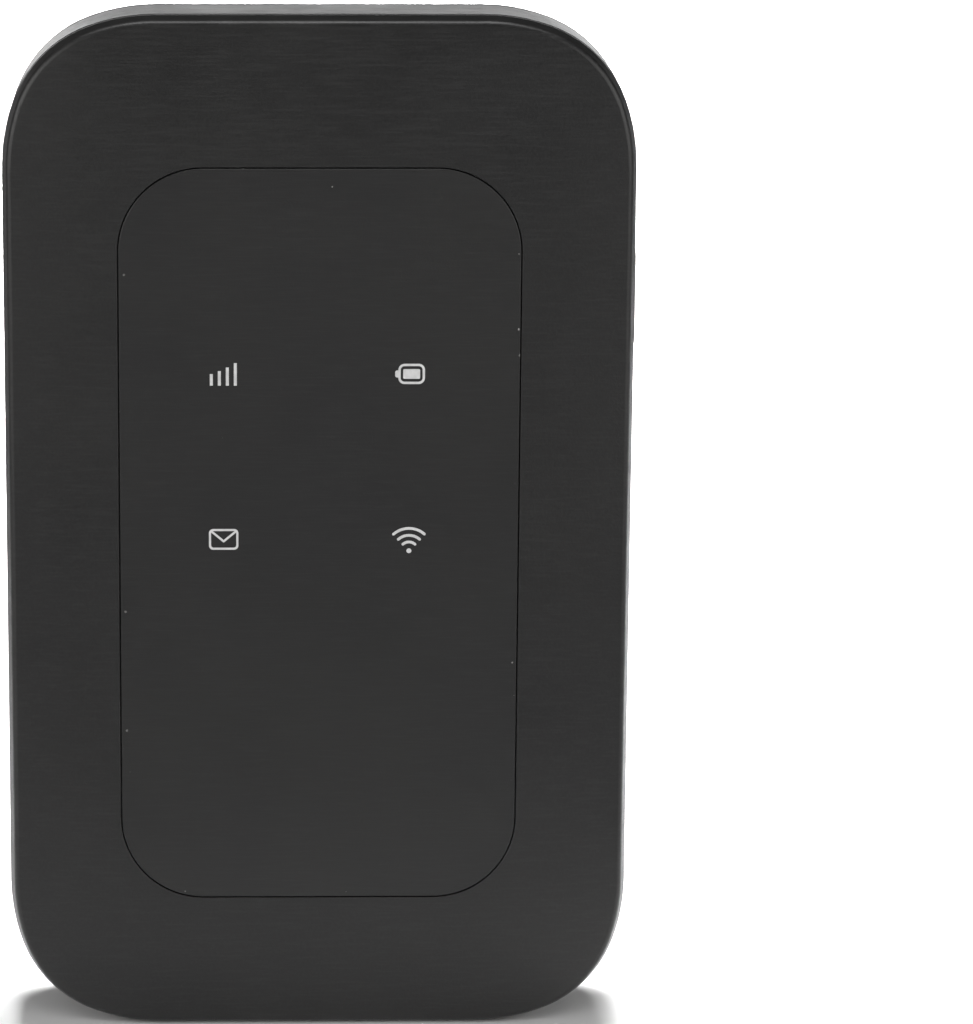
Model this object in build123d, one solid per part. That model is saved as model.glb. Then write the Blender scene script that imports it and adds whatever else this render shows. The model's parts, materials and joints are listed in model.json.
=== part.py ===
from build123d import *
import math
import os

# A pocket mobile hotspot, standing upright on its bottom edge. Millimetres.
# +X is the right side seen from the front, +Y runs from the front to the back, +Z runs up.
# The origin is the middle of the bottom edge, half way through the thickness.

# Body
body_height = 100.0
body_width = 60.4
body_thickness = 14.0
front_y = -body_thickness / 2
back_y = body_thickness / 2
middle_z = body_height / 2
corner_ease_angle = 20.0
corner_ease_radius = 18.7
corner_tip_radius = 11.9

# Shells: depths of the two parting lines, wall thicknesses and edge shapes
front_seam_y = -4.7
back_seam_y = 2.2
back_seam_gap = 0.1
front_step_in = 0.05
skirt_start_y = -5.15
skirt_start_radius = 0.4
rim_inset = 0.55
rim_y = -6.45
rim_radius = 0.6
crown_mid_y = -6.83
front_wall = 1.3
front_floor_y = -5.2
rib_zs = (26.0, 82.0)
rib_reach = 25.0
rib_thickness = 0.8
housing_wall = 1.8
housing_edge_radius = 0.15
back_edge_radius = 4.4
cover_wall = 1.4
cover_floor_y = 5.8
cover_inner_radius = 3.0
cover_rib_count = 6
cover_rib_pitch = 15.0
cover_rib_reach = 24.0
cover_rib_front_y = 5.45
cover_rib_thickness = 0.6
tongue_front_y = -5.1
tongue_back_y = -3.0
tongue_gap = 0.05
tongue_wall = 0.75

# Front panel: an inlay in a recess with a fine groove all round
panel_width = 38.3
panel_height = 72.1
panel_corner = 8.0
panel_middle_z = 49.55
panel_groove = 0.12
panel_recess_y = -6.0
panel_edge = 0.08
adhesive_thickness = 0.1
adhesive_margin = 1.0

# Icon windows in the panel, and the light guide behind them
icon_depth = 0.3
icon_skin = 0.15
icon_left_x = -9.2
icon_right_x = 8.65
icon_upper_z = 65.8
icon_lower_z = 49.55
guide_post_width = 4.2
guide_post_height = 3.4
guide_post_corner = 0.4
guide_post_front_y = front_y + icon_depth + icon_skin
guide_gap = 0.05
guide_web_front_y = -5.15
guide_web_back_y = -4.65
guide_web_margin = 3.0

# Main board and what stands on it
board_front_y = -4.0
board_back_y = -3.2
board_inset = 2.6
light_height = 0.55
can_height = 1.45
can_metal = 0.15
chip_height = 0.8
charger_z = 9.2

# Battery bay, deck and battery
bay_floor_front_y = -1.4
bay_floor_back_y = -0.5
bay_bottom_z = 22.8
bay_top_z = 87.2
bay_end_wall = 1.0
scoop_radius = 6.0
scoop_depth = 0.7
deck_front_y = 0.6
deck_back_y = 1.8
battery_width = 54.0
battery_bottom_z = 24.6
battery_top_z = 86.8
battery_front_y = -0.3
battery_back_y = 5.0
battery_corner = 1.6
battery_back_edge = 0.9
battery_front_edge = 0.4
terminal_xs = (-4.5, -1.5, 1.5, 4.5)
terminal_width = 1.9
terminal_front_y = 0.15
terminal_back_y = 3.0
terminal_depth = 0.3
label_thickness = 0.08
pad_half_width = 16.0
pad_low_z = 42.0
pad_high_z = 66.0
pad_gap = 0.1

# Contact block and springs at the bottom end of the bay
contact_half_width = 7.0
contact_low_z = 18.8
contact_top_z = 23.3
contact_back_y = 2.0
contact_slot_front_y = -0.5
contact_slot_depth = 0.25
spring_width = 1.0
spring_metal = 0.15
spring_front_y = -0.35
spring_back_y = 1.95
spring_crest_gap = 0.12

# Case screws
screw_x = 23.5
screw_low_z = 8.5
screw_high_z = 91.5
screw_shank_radius = 0.75
screw_head_radius = 1.5
screw_head_height = 0.8
screw_seat_y = 0.9
screw_tip_y = -5.8
screw_gap = 0.08
boss_radius = 2.2
column_radius = 2.3
seat_radius = 1.65

# Power button on the right side
button_z = 72.4
button_y = -1.3
button_length = 9.8
button_width = 2.6
button_proud = 0.25
button_gap = 0.1
button_travel = 0.3
button_edge = 0.2
flange_over = 0.8
flange_thickness = 0.7
flange_rest_gap = 0.05
stem_half_width = 0.6
stem_half_length = 1.5

# Side switch behind the power button
switch_y = -2.3
switch_left_x = 23.3
switch_right_x = 26.2
switch_height = 1.75
switch_half_length = 2.3
plunger_tip_x = 27.1
plunger_foot_x = 25.7
plunger_half_width = 0.45
plunger_half_length = 0.8
plunger_gap = 0.05

# Reset button under the battery, and its switch
reset_x = 10.0
reset_z = 79.5
reset_radius = 0.95
reset_top_y = -0.8
reset_gap = 0.1
reset_switch_size = 3.2
reset_switch_y = -2.1
reset_foot_radius = 0.7
reset_foot_y = -2.5
reset_travel = 0.25

# USB socket at the bottom edge
usb_shell_width = 7.5
usb_shell_height = 2.45
usb_wall = 0.25
usb_mouth_z = 0.9
usb_depth = 5.4
usb_y = board_back_y + usb_shell_height / 2
usb_way = housing_wall + 0.7
usb_tongue_y = usb_y + 0.02
usb_contact_count = 5
usb_contact_pitch = 0.65

# SIM holder under the battery
sim_left_x = -20.4
sim_right_x = -3.2
sim_low_z = 50.0
sim_high_z = 67.5
sim_entry_z = 33.0
sim_metal = 0.2
sim_roof_y = -1.75
sim_base_y = -2.75

# Tabs and nail notch of the rear cover
side_tab_zs = (33.0, 57.0)
end_tab_x = 13.0
tab_length = 5.0
tab_thickness = 0.8
tab_gap = 0.25
tab_front_y = 0.9
notch_x = -15.0
notch_half_length = 4.2
notch_reach = 1.0
notch_depth = 0.7

# Antennas on moulded carriers: left, right, bottom and top of each
antenna_back_y = 0.25
antenna_metal = 0.15
antenna_margin = 0.6
main_antenna_place = (6.0, 20.6, 4.0, 15.0)
second_antenna_place = (-19.0, -1.0, 89.4, 96.2)
wifi_antenna_place = (5.0, 19.0, 89.4, 96.2)
clip_width = 1.6
clip_length = 2.4
clip_metal = 0.15
clip_gap = 0.03


def block(x, y, z):
    """A plain block between a low and a high value on each axis."""
    size = Box(x[1] - x[0], y[1] - y[0], z[1] - z[0])
    centre = (sum(x) / 2, sum(y) / 2, sum(z) / 2)
    return Pos(*centre) * size


def facing_front(y, z=middle_z):
    """A drawing plane at depth y whose normal points to the front and whose y axis points up."""
    return Plane(origin=(0, y, z), x_dir=(1, 0, 0), z_dir=(0, -1, 0))


def slab(face, y_front, y_back, z=middle_z):
    """A flat face, drawn about height z, made solid between two depths."""
    return extrude(facing_front(y_back, z) * face, amount=y_back - y_front)


def post(x, z, radius, y_front, y_back):
    """A round post along the depth."""
    return slab(Pos(x, 0) * Circle(radius), y_front, y_back, z)


def eased_rectangle(half_width, half_height, ease_radius, tip_radius):
    """A rectangle whose corners are three tangent arcs: a wide one, a tight one and a wide one."""
    ease = math.radians(corner_ease_angle)
    corner = ease_radius * (1 - math.cos(ease) + math.sin(ease))
    corner += tip_radius * (math.cos(ease) - math.sin(ease))
    corner_arcs = (
        (ease_radius, corner_ease_angle),
        (tip_radius, 90 - 2 * corner_ease_angle),
        (ease_radius, corner_ease_angle),
    )
    tall = 2 * (half_height - corner)
    wide = 2 * (half_width - corner)
    sides = ((tall, Vector(0, 1)), (wide, Vector(-1, 0)), (tall, Vector(0, -1)), (wide, Vector(1, 0)))
    point = Vector(half_width, corner - half_height)
    edges = []
    for length, heading in sides:
        edge = Line(point, point + heading * length)
        edges.append(edge)
        for radius, sweep in corner_arcs:
            edge = JernArc(edge @ 1, edge % 1, radius, sweep)
            edges.append(edge)
        point = edge @ 1
    return make_face(edges)


def body_outline(inset=0.0):
    """The body's outline seen from the front, moved inwards all round by an inset."""
    return eased_rectangle(
        body_width / 2 - inset,
        body_height / 2 - inset,
        corner_ease_radius - inset,
        corner_tip_radius - inset,
    )


def body_ring(outer_inset, inner_inset, y_front, y_back):
    """A ring that follows the body's outline between two insets."""
    outer = slab(body_outline(outer_inset), y_front, y_back)
    return outer - slab(body_outline(inner_inset), y_front, y_back)


def panel_outline(margin=0.0):
    """The front panel's outline, moved outwards all round by a margin."""
    return RectangleRounded(panel_width + 2 * margin, panel_height + 2 * margin, panel_corner + margin)


def screw_places():
    """The four screws near the corners."""
    return [(x, z) for x in (-screw_x, screw_x) for z in (screw_low_z, screw_high_z)]


def icon_places():
    """The middles of the four icon windows."""
    return {
        "signal": (icon_left_x, icon_upper_z),
        "battery": (icon_right_x, icon_upper_z),
        "message": (icon_left_x, icon_lower_z),
        "wifi": (icon_right_x, icon_lower_z),
    }


def signal_icon():
    """Four bars of rising height."""
    bar_width = 0.29
    bar_pitch = 0.765
    foot = -1.13
    bars = []
    for number, height in enumerate((1.13, 1.42, 1.77, 2.2)):
        x = (number - 1.5) * bar_pitch
        bars.append(Pos(x, foot + height / 2) * Rectangle(bar_width, height))
    return Sketch() + bars


def battery_icon():
    """A rounded battery outline with its end cap on the left and a filled cell inside."""
    case_width = 2.55
    case_height = 1.98
    case_corner = 0.6
    stroke = 0.23
    cap_reach = 0.3
    cap_height = 0.7
    cap_corner = 0.2
    cell_width = 1.62
    cell_height = 0.95
    cell_corner = 0.12
    hollow_width = case_width - 2 * stroke
    hollow_height = case_height - 2 * stroke
    case = RectangleRounded(case_width, case_height, case_corner)
    case -= RectangleRounded(hollow_width, hollow_height, case_corner - stroke)
    cap_width = cap_reach + cap_corner
    cap_x = cap_width / 2 - cap_reach - case_width / 2
    cap = Pos(cap_x, 0) * RectangleRounded(cap_width, cap_height, cap_corner)
    cell = RectangleRounded(cell_width, cell_height, cell_corner)
    return Pos(cap_reach / 2, 0) * (case + cap + cell)


def message_icon():
    """An envelope: a rounded frame with a folded flap."""
    width = 2.84
    height = 2.06
    stroke = 0.21
    corner = 0.42
    frame = RectangleRounded(width, height, corner)
    frame -= RectangleRounded(width - 2 * stroke, height - 2 * stroke, corner - stroke + 0.05)
    flap_x = width / 2 - stroke
    flap_top = height / 2 - stroke
    flap_low = -0.2
    flap_length = math.hypot(flap_x, flap_top - flap_low)
    flap_angle = math.degrees(math.atan2(flap_top - flap_low, flap_x))
    for side in (-1, 1):
        middle = Pos(side * flap_x / 2, (flap_top + flap_low) / 2)
        frame += middle * Rot(0, 0, side * flap_angle) * SlotCenterToCenter(flap_length, stroke)
    return frame


def wifi_icon():
    """A dot with three round-ended arcs spreading upwards from it."""
    dot_radius = 0.24
    stroke = 0.27
    sweep = 84.0
    lift = -1.15
    icon = Pos(0, lift) * Circle(dot_radius)
    for radius in (0.87, 1.53, 2.22):
        spine = CenterArc((0, 0), radius, 90 - sweep / 2, sweep)
        icon += Pos(0, lift) * SlotArc(spine, stroke)
    return icon


def icon_window(name, drawing):
    """One icon's translucent window, flush with the panel's face."""
    x, z = icon_places()[name]
    return slab(Pos(x, 0) * drawing, front_y, front_y + icon_depth, z)


def guide_posts(gap, y_front, y_back):
    """The light guide's four posts, or with a gap the holes that they pass through."""
    posts = Part()
    corner = guide_post_corner + gap
    for x, z in icon_places().values():
        face = RectangleRounded(guide_post_width + 2 * gap, guide_post_height + 2 * gap, corner)
        posts += slab(Pos(x, 0) * face, y_front, y_back, z)
    return posts


def on_front(edge):
    """True for an edge in the plane of the front face."""
    return abs(edge.bounding_box().max.Y - front_y) < 0.02


def front_cover():
    """The front shell: a gently crowned frame round the panel, with a sloping skirt behind its rim."""
    band = slab(body_outline(front_step_in), skirt_start_y, front_seam_y)
    skirt_start = facing_front(skirt_start_y) * body_outline(front_step_in)
    rim = facing_front(rim_y) * body_outline(rim_inset)
    skirt = loft([skirt_start, rim], ruled=True)
    rim_half = body_width / 2 - rim_inset
    rim_half_height = body_height / 2 - rim_inset
    crown_half = (rim_half + panel_width / 2) / 2
    crown_half_height = (rim_half_height + panel_height / 2) / 2
    crown_ease = (corner_ease_radius - rim_inset + panel_corner) / 2
    crown_tip = (corner_tip_radius - rim_inset + panel_corner) / 2
    crown_mid_z = (middle_z + panel_middle_z) / 2
    crown_face = eased_rectangle(crown_half, crown_half_height, crown_ease, crown_tip)
    top_face = eased_rectangle(panel_width / 2, panel_height / 2, panel_corner, panel_corner)
    crown_middle = facing_front(crown_mid_y, crown_mid_z) * crown_face
    crown_top = facing_front(front_y, panel_middle_z) * top_face
    crown = loft([rim, crown_middle, crown_top])
    shell = band + skirt + crown
    rim_edges = shell.edges().filter_by(lambda edge: abs(edge.center().Y - rim_y) < 0.001)
    shell = fillet(rim_edges, rim_radius)
    start_edges = shell.edges().filter_by(lambda edge: abs(edge.center().Y - skirt_start_y) < 0.001)
    shell = fillet(start_edges, skirt_start_radius)
    shell -= slab(body_outline(front_step_in + front_wall), front_floor_y, front_seam_y)
    shell -= slab(panel_outline(panel_groove), front_y, panel_recess_y, panel_middle_z)
    shell = fillet(shell.edges().filter_by(on_front), panel_edge)
    shell -= guide_posts(guide_gap, panel_recess_y, front_floor_y)
    for x, z in screw_places():
        shell += post(x, z, boss_radius, front_floor_y, board_front_y)
    for z in rib_zs:
        half = rib_thickness / 2
        shell += block((-rib_reach, rib_reach), (front_floor_y, board_front_y), (z - half, z + half))
    for x, z in screw_places():
        shell -= post(x, z, screw_shank_radius + screw_gap, screw_tip_y - 0.2, board_front_y)
    return shell


def front_panel():
    """The inlay that fills the recess, pierced by the icons and by the light guide's posts."""
    panel = slab(panel_outline(), front_y, panel_recess_y - adhesive_thickness, panel_middle_z)
    panel = fillet(panel.faces().sort_by(Axis.Y)[0].edges(), panel_edge)
    panel -= guide_posts(guide_gap, guide_post_front_y, panel_recess_y - adhesive_thickness)
    for name, drawing in icon_drawings().items():
        panel -= icon_window(name, drawing)
    return panel


def panel_adhesive():
    """The double-sided tape that holds the panel, cut out round the light guide."""
    tape = slab(
        panel_outline(-adhesive_margin),
        panel_recess_y - adhesive_thickness,
        panel_recess_y,
        panel_middle_z,
    )
    return tape - guide_posts(2 * guide_gap, panel_recess_y - adhesive_thickness, panel_recess_y)


def light_guide():
    """A clear moulding: four posts that reach the icons, joined by a web."""
    half_width = (icon_right_x - icon_left_x) / 2 + guide_web_margin
    half_height = (icon_upper_z - icon_lower_z) / 2 + guide_web_margin
    centre_x = (icon_left_x + icon_right_x) / 2
    centre_z = (icon_upper_z + icon_lower_z) / 2
    web_face = Rectangle(2 * half_width, 2 * half_height)
    web_face -= Rectangle(2 * half_width - 4 * guide_web_margin, 2 * half_height - 4 * guide_web_margin)
    web = slab(Pos(centre_x, 0) * web_face, guide_web_front_y, guide_web_back_y, centre_z)
    return web + guide_posts(0.0, guide_post_front_y, guide_web_back_y)


def light_shield():
    """A black rubber frame with a pocket round each light, pressed between guide and board."""
    frame = Part()
    outer = 4.6
    inner = 2.8
    for x, z in icon_places().values():
        face = Rectangle(outer, outer) - Rectangle(inner, inner)
        frame += slab(Pos(x, 0) * face, guide_web_back_y, board_front_y, z)
    bridge_half = 0.5
    upper = (icon_upper_z - bridge_half, icon_upper_z + bridge_half)
    lower = (icon_lower_z - bridge_half, icon_lower_z + bridge_half)
    left = (icon_left_x - bridge_half, icon_left_x + bridge_half)
    depth = (guide_web_back_y, board_front_y)
    edge = outer / 2
    for across in (upper, lower):
        frame += block((icon_left_x + edge, icon_right_x - edge), depth, across)
    frame += block(left, depth, (icon_lower_z + edge, icon_upper_z - edge))
    return frame


def status_lights():
    """Four small light-emitting packages on the front of the board."""
    half_width = 0.8
    half_height = 0.4
    depth = (board_front_y - light_height, board_front_y)
    lights = Part()
    for x, z in icon_places().values():
        lights += block((x - half_width, x + half_width), depth, (z - half_height, z + half_height))
    return lights


def main_board():
    """The circuit board, clamped between the screw bosses and the screw columns."""
    board = slab(body_outline(board_inset), board_front_y, board_back_y)
    for x, z in screw_places():
        board -= post(x, z, screw_shank_radius + 0.25, board_front_y, board_back_y)
    notch_x = body_width / 2 - board_inset - 0.8
    notch_half = button_length / 2 + 1.6
    notch = block(
        (notch_x, body_width / 2),
        (board_front_y, board_back_y),
        (button_z - notch_half, button_z + notch_half),
    )
    return board - notch


def chip(x, z, width, height, thickness=chip_height):
    """One flat component on the back of the board."""
    return block(
        (x - width / 2, x + width / 2),
        (board_back_y, board_back_y + thickness),
        (z - height / 2, z + height / 2),
    )


def shield_can(x, z, width, height):
    """A stamped metal lid over part of the board, open towards the board."""
    bend_radius = 0.12
    hole_pitch = 2.4
    hole_radius = 0.35
    hole_margin = 2.0
    outer = chip(x, z, width, height, can_height)
    outer = fillet(outer.faces().sort_by(Axis.Y)[-1].edges(), bend_radius)
    inner = chip(x, z, width - 2 * can_metal, height - 2 * can_metal, can_height - can_metal)
    can = outer - inner
    last = int((width - 2 * hole_margin) / hole_pitch)
    hole_z = z + height / 2 - hole_margin
    for number in range(last + 1):
        hole_x = x + (number - last / 2) * hole_pitch
        can -= post(hole_x, hole_z, hole_radius, board_back_y, board_back_y + can_height)
    return can


def power_amplifiers():
    """Three small amplifiers under the radio shield."""
    first = chip(13.0, 66.0, 4.0, 4.0)
    second = chip(13.0, 60.0, 4.0, 4.0)
    third = chip(18.0, 63.0, 3.0, 4.0)
    return first + second + third


def small_components():
    """Capacitors, resistors and coils standing in rows on the back of the board."""
    pitch = 1.7
    charger_rows = ((-18.0, 16.0, 8), (-18.0, 13.2, 8))
    other_rows = ((9.5, 17.6, 5), (3.0, 75.0, 5), (-24.0, 26.0, 1), (-24.0, 44.0, 1))
    parts = Part()
    for first_x, z, count in charger_rows + other_rows:
        for number in range(count):
            parts += chip(first_x + number * pitch, z, 0.8, 1.6, 0.7)
    coil_size = 3.0
    coil_height = 1.3
    coil_corner = 0.5
    for x in (-12.0, -7.6):
        coil = chip(x, charger_z, coil_size, coil_size, coil_height)
        parts += fillet(coil.edges().filter_by(Axis.Y), coil_corner)
    return parts


def rear_housing():
    """The middle shell: side walls, battery bay, decks above and below it, and screw columns."""
    walls = slab(body_outline(), front_seam_y, back_seam_y)
    front_edges = walls.edges().filter_by(lambda edge: abs(edge.center().Y - front_seam_y) < 0.001)
    walls = fillet(front_edges, housing_edge_radius)
    back_edges = walls.edges().filter_by(lambda edge: abs(edge.center().Y - back_seam_y) < 0.001)
    walls = fillet(back_edges, housing_edge_radius)
    walls -= slab(body_outline(housing_wall), front_seam_y, back_seam_y)
    tongue_inset = front_step_in + front_wall + tongue_gap
    housing = walls + body_ring(tongue_inset, tongue_inset + tongue_wall, tongue_front_y, tongue_back_y)

    inside = housing_wall - 0.2
    bay_x = body_width / 2
    deck = slab(body_outline(inside), deck_front_y, deck_back_y)
    deck -= block((-bay_x, bay_x), (deck_front_y, deck_back_y), (bay_bottom_z, bay_top_z))
    floor = slab(body_outline(inside), bay_floor_front_y, bay_floor_back_y)
    floor &= block(
        (-bay_x, bay_x),
        (bay_floor_front_y, bay_floor_back_y),
        (bay_bottom_z - bay_end_wall, bay_top_z + bay_end_wall),
    )
    ends = slab(body_outline(inside), bay_floor_front_y, deck_back_y)
    end_depth = (bay_floor_front_y, deck_back_y)
    low_end = block((-bay_x, bay_x), end_depth, (bay_bottom_z - bay_end_wall, bay_bottom_z))
    high_end = block((-bay_x, bay_x), end_depth, (bay_top_z, bay_top_z + bay_end_wall))
    housing += deck
    housing += floor
    housing += (ends & low_end) + (ends & high_end)

    for x, z in screw_places():
        housing += post(x, z, column_radius, board_back_y, deck_back_y)
    for x, z in screw_places():
        housing -= post(x, z, screw_shank_radius + screw_gap, board_back_y, deck_back_y)
        housing -= post(x, z, seat_radius, screw_seat_y, deck_back_y)

    housing -= button_opening()
    housing -= usb_opening()
    housing -= block(
        (sim_left_x - 0.3, sim_right_x + 0.3),
        (bay_floor_front_y, bay_floor_back_y),
        (sim_entry_z, sim_high_z + 0.3),
    )
    housing -= post(reset_x, reset_z, reset_radius + reset_gap, bay_floor_front_y, bay_floor_back_y)
    housing -= contact_opening()
    housing -= post(0, bay_top_z, scoop_radius, deck_back_y - scoop_depth, deck_back_y)
    for side in (-1, 1):
        for z in (deck_slot_z(-1), deck_slot_z(1)):
            housing -= tab_slot(side * end_tab_x, z)
    return housing


def button_opening():
    """The slot in the right wall for the button, and the pocket behind it for its flange."""
    inner_x = body_width / 2 - housing_wall
    plane = Plane(origin=(inner_x - 1.0, button_y, button_z), x_dir=(0, 0, 1), z_dir=(1, 0, 0))
    slot = SlotOverall(button_length + 2 * button_gap, button_width + 2 * button_gap)
    opening = extrude(plane * slot, amount=housing_wall + 2.0)
    pocket_half_length = button_length / 2 + flange_over + 0.3
    pocket = block(
        (inner_x - 1.6, inner_x),
        (bay_floor_front_y, bay_floor_back_y),
        (button_z - pocket_half_length, button_z + pocket_half_length),
    )
    return opening + pocket


def usb_opening():
    """The plug's way through the bottom wall, with a bevelled mouth, and room for the socket behind it."""
    width = usb_shell_width + 0.9
    height = usb_shell_height + 0.7
    corner = 0.6
    mouth_bevel = 0.35
    plane = Plane(origin=(0, usb_y, 0), x_dir=(1, 0, 0), z_dir=(0, 0, 1))
    way = extrude(plane * RectangleRounded(width, height, corner), amount=usb_way)
    bevelled = RectangleRounded(width + 2 * mouth_bevel, height + 2 * mouth_bevel, corner + mouth_bevel)
    mouth_inner = plane.offset(mouth_bevel) * RectangleRounded(width, height, corner)
    return way + loft([plane * bevelled, mouth_inner], ruled=True)


def contact_opening():
    """The cut in the lower end of the bay that lets the contact block reach the battery."""
    gap = 0.1
    half_width = contact_half_width + gap
    return block(
        (-half_width, half_width),
        (bay_floor_front_y, deck_back_y),
        (contact_low_z - gap, contact_top_z + gap),
    )


def deck_slot_z(side):
    """The height of the end tabs' centre line, at the bottom with -1 and at the top with 1."""
    inset = housing_wall + tab_gap + tab_thickness / 2
    return middle_z + side * (body_height / 2 - inset)


def tab_slot(x, z):
    """A slot through the deck for one of the cover's end tabs."""
    half_length = tab_length / 2 + 0.4
    half_thickness = tab_thickness / 2 + 0.2
    return block(
        (x - half_length, x + half_length),
        (deck_front_y, deck_back_y),
        (z - half_thickness, z + half_thickness),
    )


def cover_ribs():
    """Low stiffening ribs across the inside of the rear cover, broken off round the foam pad."""
    half = cover_rib_thickness / 2
    depth = (cover_rib_front_y, cover_floor_y)
    ribs = Part()
    for number in range(cover_rib_count):
        z = middle_z + (number - (cover_rib_count - 1) / 2) * cover_rib_pitch
        ribs += block((-cover_rib_reach, cover_rib_reach), depth, (z - half, z + half))
    room = 1.0
    clear_x = (-pad_half_width - room, pad_half_width + room)
    return ribs - block(clear_x, depth, (pad_low_z - room, pad_high_z + room))


def rear_cover():
    """The lift-off back: a shallow tray with a generous back edge, tabs, a lip and a nail notch."""
    cover_front_y = back_seam_y + back_seam_gap
    tray = slab(body_outline(), cover_front_y, back_y)
    back_edges = tray.edges().filter_by(lambda edge: abs(edge.center().Y - back_y) < 0.001)
    tray = fillet(back_edges, back_edge_radius)
    seam_edges = tray.edges().filter_by(lambda edge: abs(edge.center().Y - cover_front_y) < 0.001)
    tray = fillet(seam_edges, housing_edge_radius)
    hollow = slab(body_outline(cover_wall), cover_front_y, cover_floor_y)
    hollow_edges = hollow.edges().filter_by(lambda edge: abs(edge.center().Y - cover_floor_y) < 0.001)
    hollow = fillet(hollow_edges, cover_inner_radius)
    cover = tray - hollow + cover_ribs()

    lip_inset = housing_wall + 0.15
    lip_front_y = deck_back_y + 0.12
    lip_wall = 0.8
    lip_back_y = cover_front_y + 1.0
    cover += body_ring(lip_inset, lip_inset + lip_wall, lip_front_y, lip_back_y)
    cover += body_ring(cover_wall - 0.2, lip_inset + lip_wall, cover_front_y + 0.1, lip_back_y)

    half = tab_length / 2
    half_thickness = tab_thickness / 2
    tab_x = body_width / 2 - housing_wall - tab_gap - half_thickness
    tab_depth = (tab_front_y, lip_back_y)
    for side in (-1, 1):
        x = side * tab_x
        for z in side_tab_zs:
            cover += block((x - half_thickness, x + half_thickness), tab_depth, (z - half, z + half))
        z = deck_slot_z(side)
        for x in (-end_tab_x, end_tab_x):
            cover += block((x - half, x + half), tab_depth, (z - half_thickness, z + half_thickness))

    notch_plane = Plane(origin=(notch_x, cover_front_y, 0), x_dir=(1, 0, 0), z_dir=(0, 0, 1))
    cover -= extrude(notch_plane * Ellipse(notch_half_length, notch_reach), amount=notch_depth)
    return cover


def moisture_dot():
    """A small round sticker on the floor of the battery bay that changes colour when wet."""
    x = 21.5
    z = 27.5
    radius = 1.6
    thickness = 0.06
    return post(x, z, radius, bay_floor_back_y, bay_floor_back_y + thickness)


def foam_pad():
    """A soft pad on the inside of the rear cover that keeps the battery still."""
    pad_corner = 2.0
    pad_front_y = battery_back_y + label_thickness + pad_gap
    width = (-pad_half_width, pad_half_width)
    pad = block(width, (pad_front_y, cover_floor_y), (pad_low_z, pad_high_z))
    return fillet(pad.edges().filter_by(Axis.Y), pad_corner)


def battery_pack():
    """The battery: a flat block with rounded edges and pockets for its terminals."""
    pack = block(
        (-battery_width / 2, battery_width / 2),
        (battery_front_y, battery_back_y),
        (battery_bottom_z, battery_top_z),
    )
    pack = fillet(pack.edges().filter_by(Axis.Y), battery_corner)
    pack = fillet(pack.faces().sort_by(Axis.Y)[-1].edges(), battery_back_edge)
    pack = fillet(pack.faces().sort_by(Axis.Y)[0].edges(), battery_front_edge)
    return pack - battery_terminals()


def battery_terminals():
    """Four flat gold pads in the battery's bottom end, opposite the contact springs."""
    pads = Part()
    for x in terminal_xs:
        pads += block(
            (x - terminal_width / 2, x + terminal_width / 2),
            (terminal_front_y, terminal_back_y),
            (battery_bottom_z, battery_bottom_z + terminal_depth),
        )
    return pads


def battery_label():
    """A thin blank label on the back of the battery."""
    margin = 3.0
    corner = 1.2
    label = block(
        (margin - battery_width / 2, battery_width / 2 - margin),
        (battery_back_y, battery_back_y + label_thickness),
        (battery_bottom_z + margin, battery_top_z - margin),
    )
    return fillet(label.edges().filter_by(Axis.Y), corner)


def contact_block():
    """The plastic block on the board that carries the battery contact springs."""
    width = (-contact_half_width, contact_half_width)
    body = block(width, (board_back_y, contact_back_y), (contact_low_z, contact_top_z))
    half = spring_width / 2 + 0.15
    slot_depth = (contact_slot_front_y, contact_back_y)
    for x in terminal_xs:
        body -= block((x - half, x + half), slot_depth, (contact_top_z - contact_slot_depth, contact_top_z))
    return body


def contact_springs():
    """Four bowed metal leaves that press on the battery's terminals."""
    springs = Part()
    foot_z = contact_top_z - contact_slot_depth
    crest_z = battery_bottom_z - spring_crest_gap
    middle_y = (spring_front_y + spring_back_y) / 2
    for x in terminal_xs:
        plane = Plane(origin=(x - spring_width / 2, 0, 0), x_dir=(0, 1, 0), z_dir=(1, 0, 0))
        bow = ThreePointArc((spring_front_y, foot_z), (middle_y, crest_z), (spring_back_y, foot_z))
        inner_bow = ThreePointArc(
            (spring_front_y + spring_metal, foot_z),
            (middle_y, crest_z - spring_metal),
            (spring_back_y - spring_metal, foot_z),
        )
        feet = [Line(bow @ 0, inner_bow @ 0), Line(bow @ 1, inner_bow @ 1)]
        springs += extrude(plane * make_face([bow, inner_bow] + feet), amount=spring_width)
    return springs


def power_button():
    """The key in the right wall: a rounded bar, a flange that keeps it in, and a short stem."""
    inner_x = body_width / 2 - housing_wall - flange_rest_gap
    outer_x = body_width / 2 + button_proud
    plane = Plane(origin=(inner_x, button_y, button_z), x_dir=(0, 0, 1), z_dir=(1, 0, 0))
    bar = extrude(plane * SlotOverall(button_length, button_width), amount=outer_x - inner_x)
    bar = fillet(bar.faces().sort_by(Axis.X)[-1].edges(), button_edge)
    flange_back = plane.offset(-flange_thickness)
    flange_length = button_length + 2 * flange_over
    flange_width = button_width + flange_over
    flange_face = RectangleRounded(flange_length, flange_width, flange_over / 2)
    flange = extrude(flange_back * flange_face, amount=flange_thickness)
    stem = block(
        (plunger_tip_x + plunger_gap, inner_x - flange_thickness),
        (switch_y - stem_half_width, switch_y + stem_half_width),
        (button_z - stem_half_length, button_z + stem_half_length),
    )
    return bar + flange + stem


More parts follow.
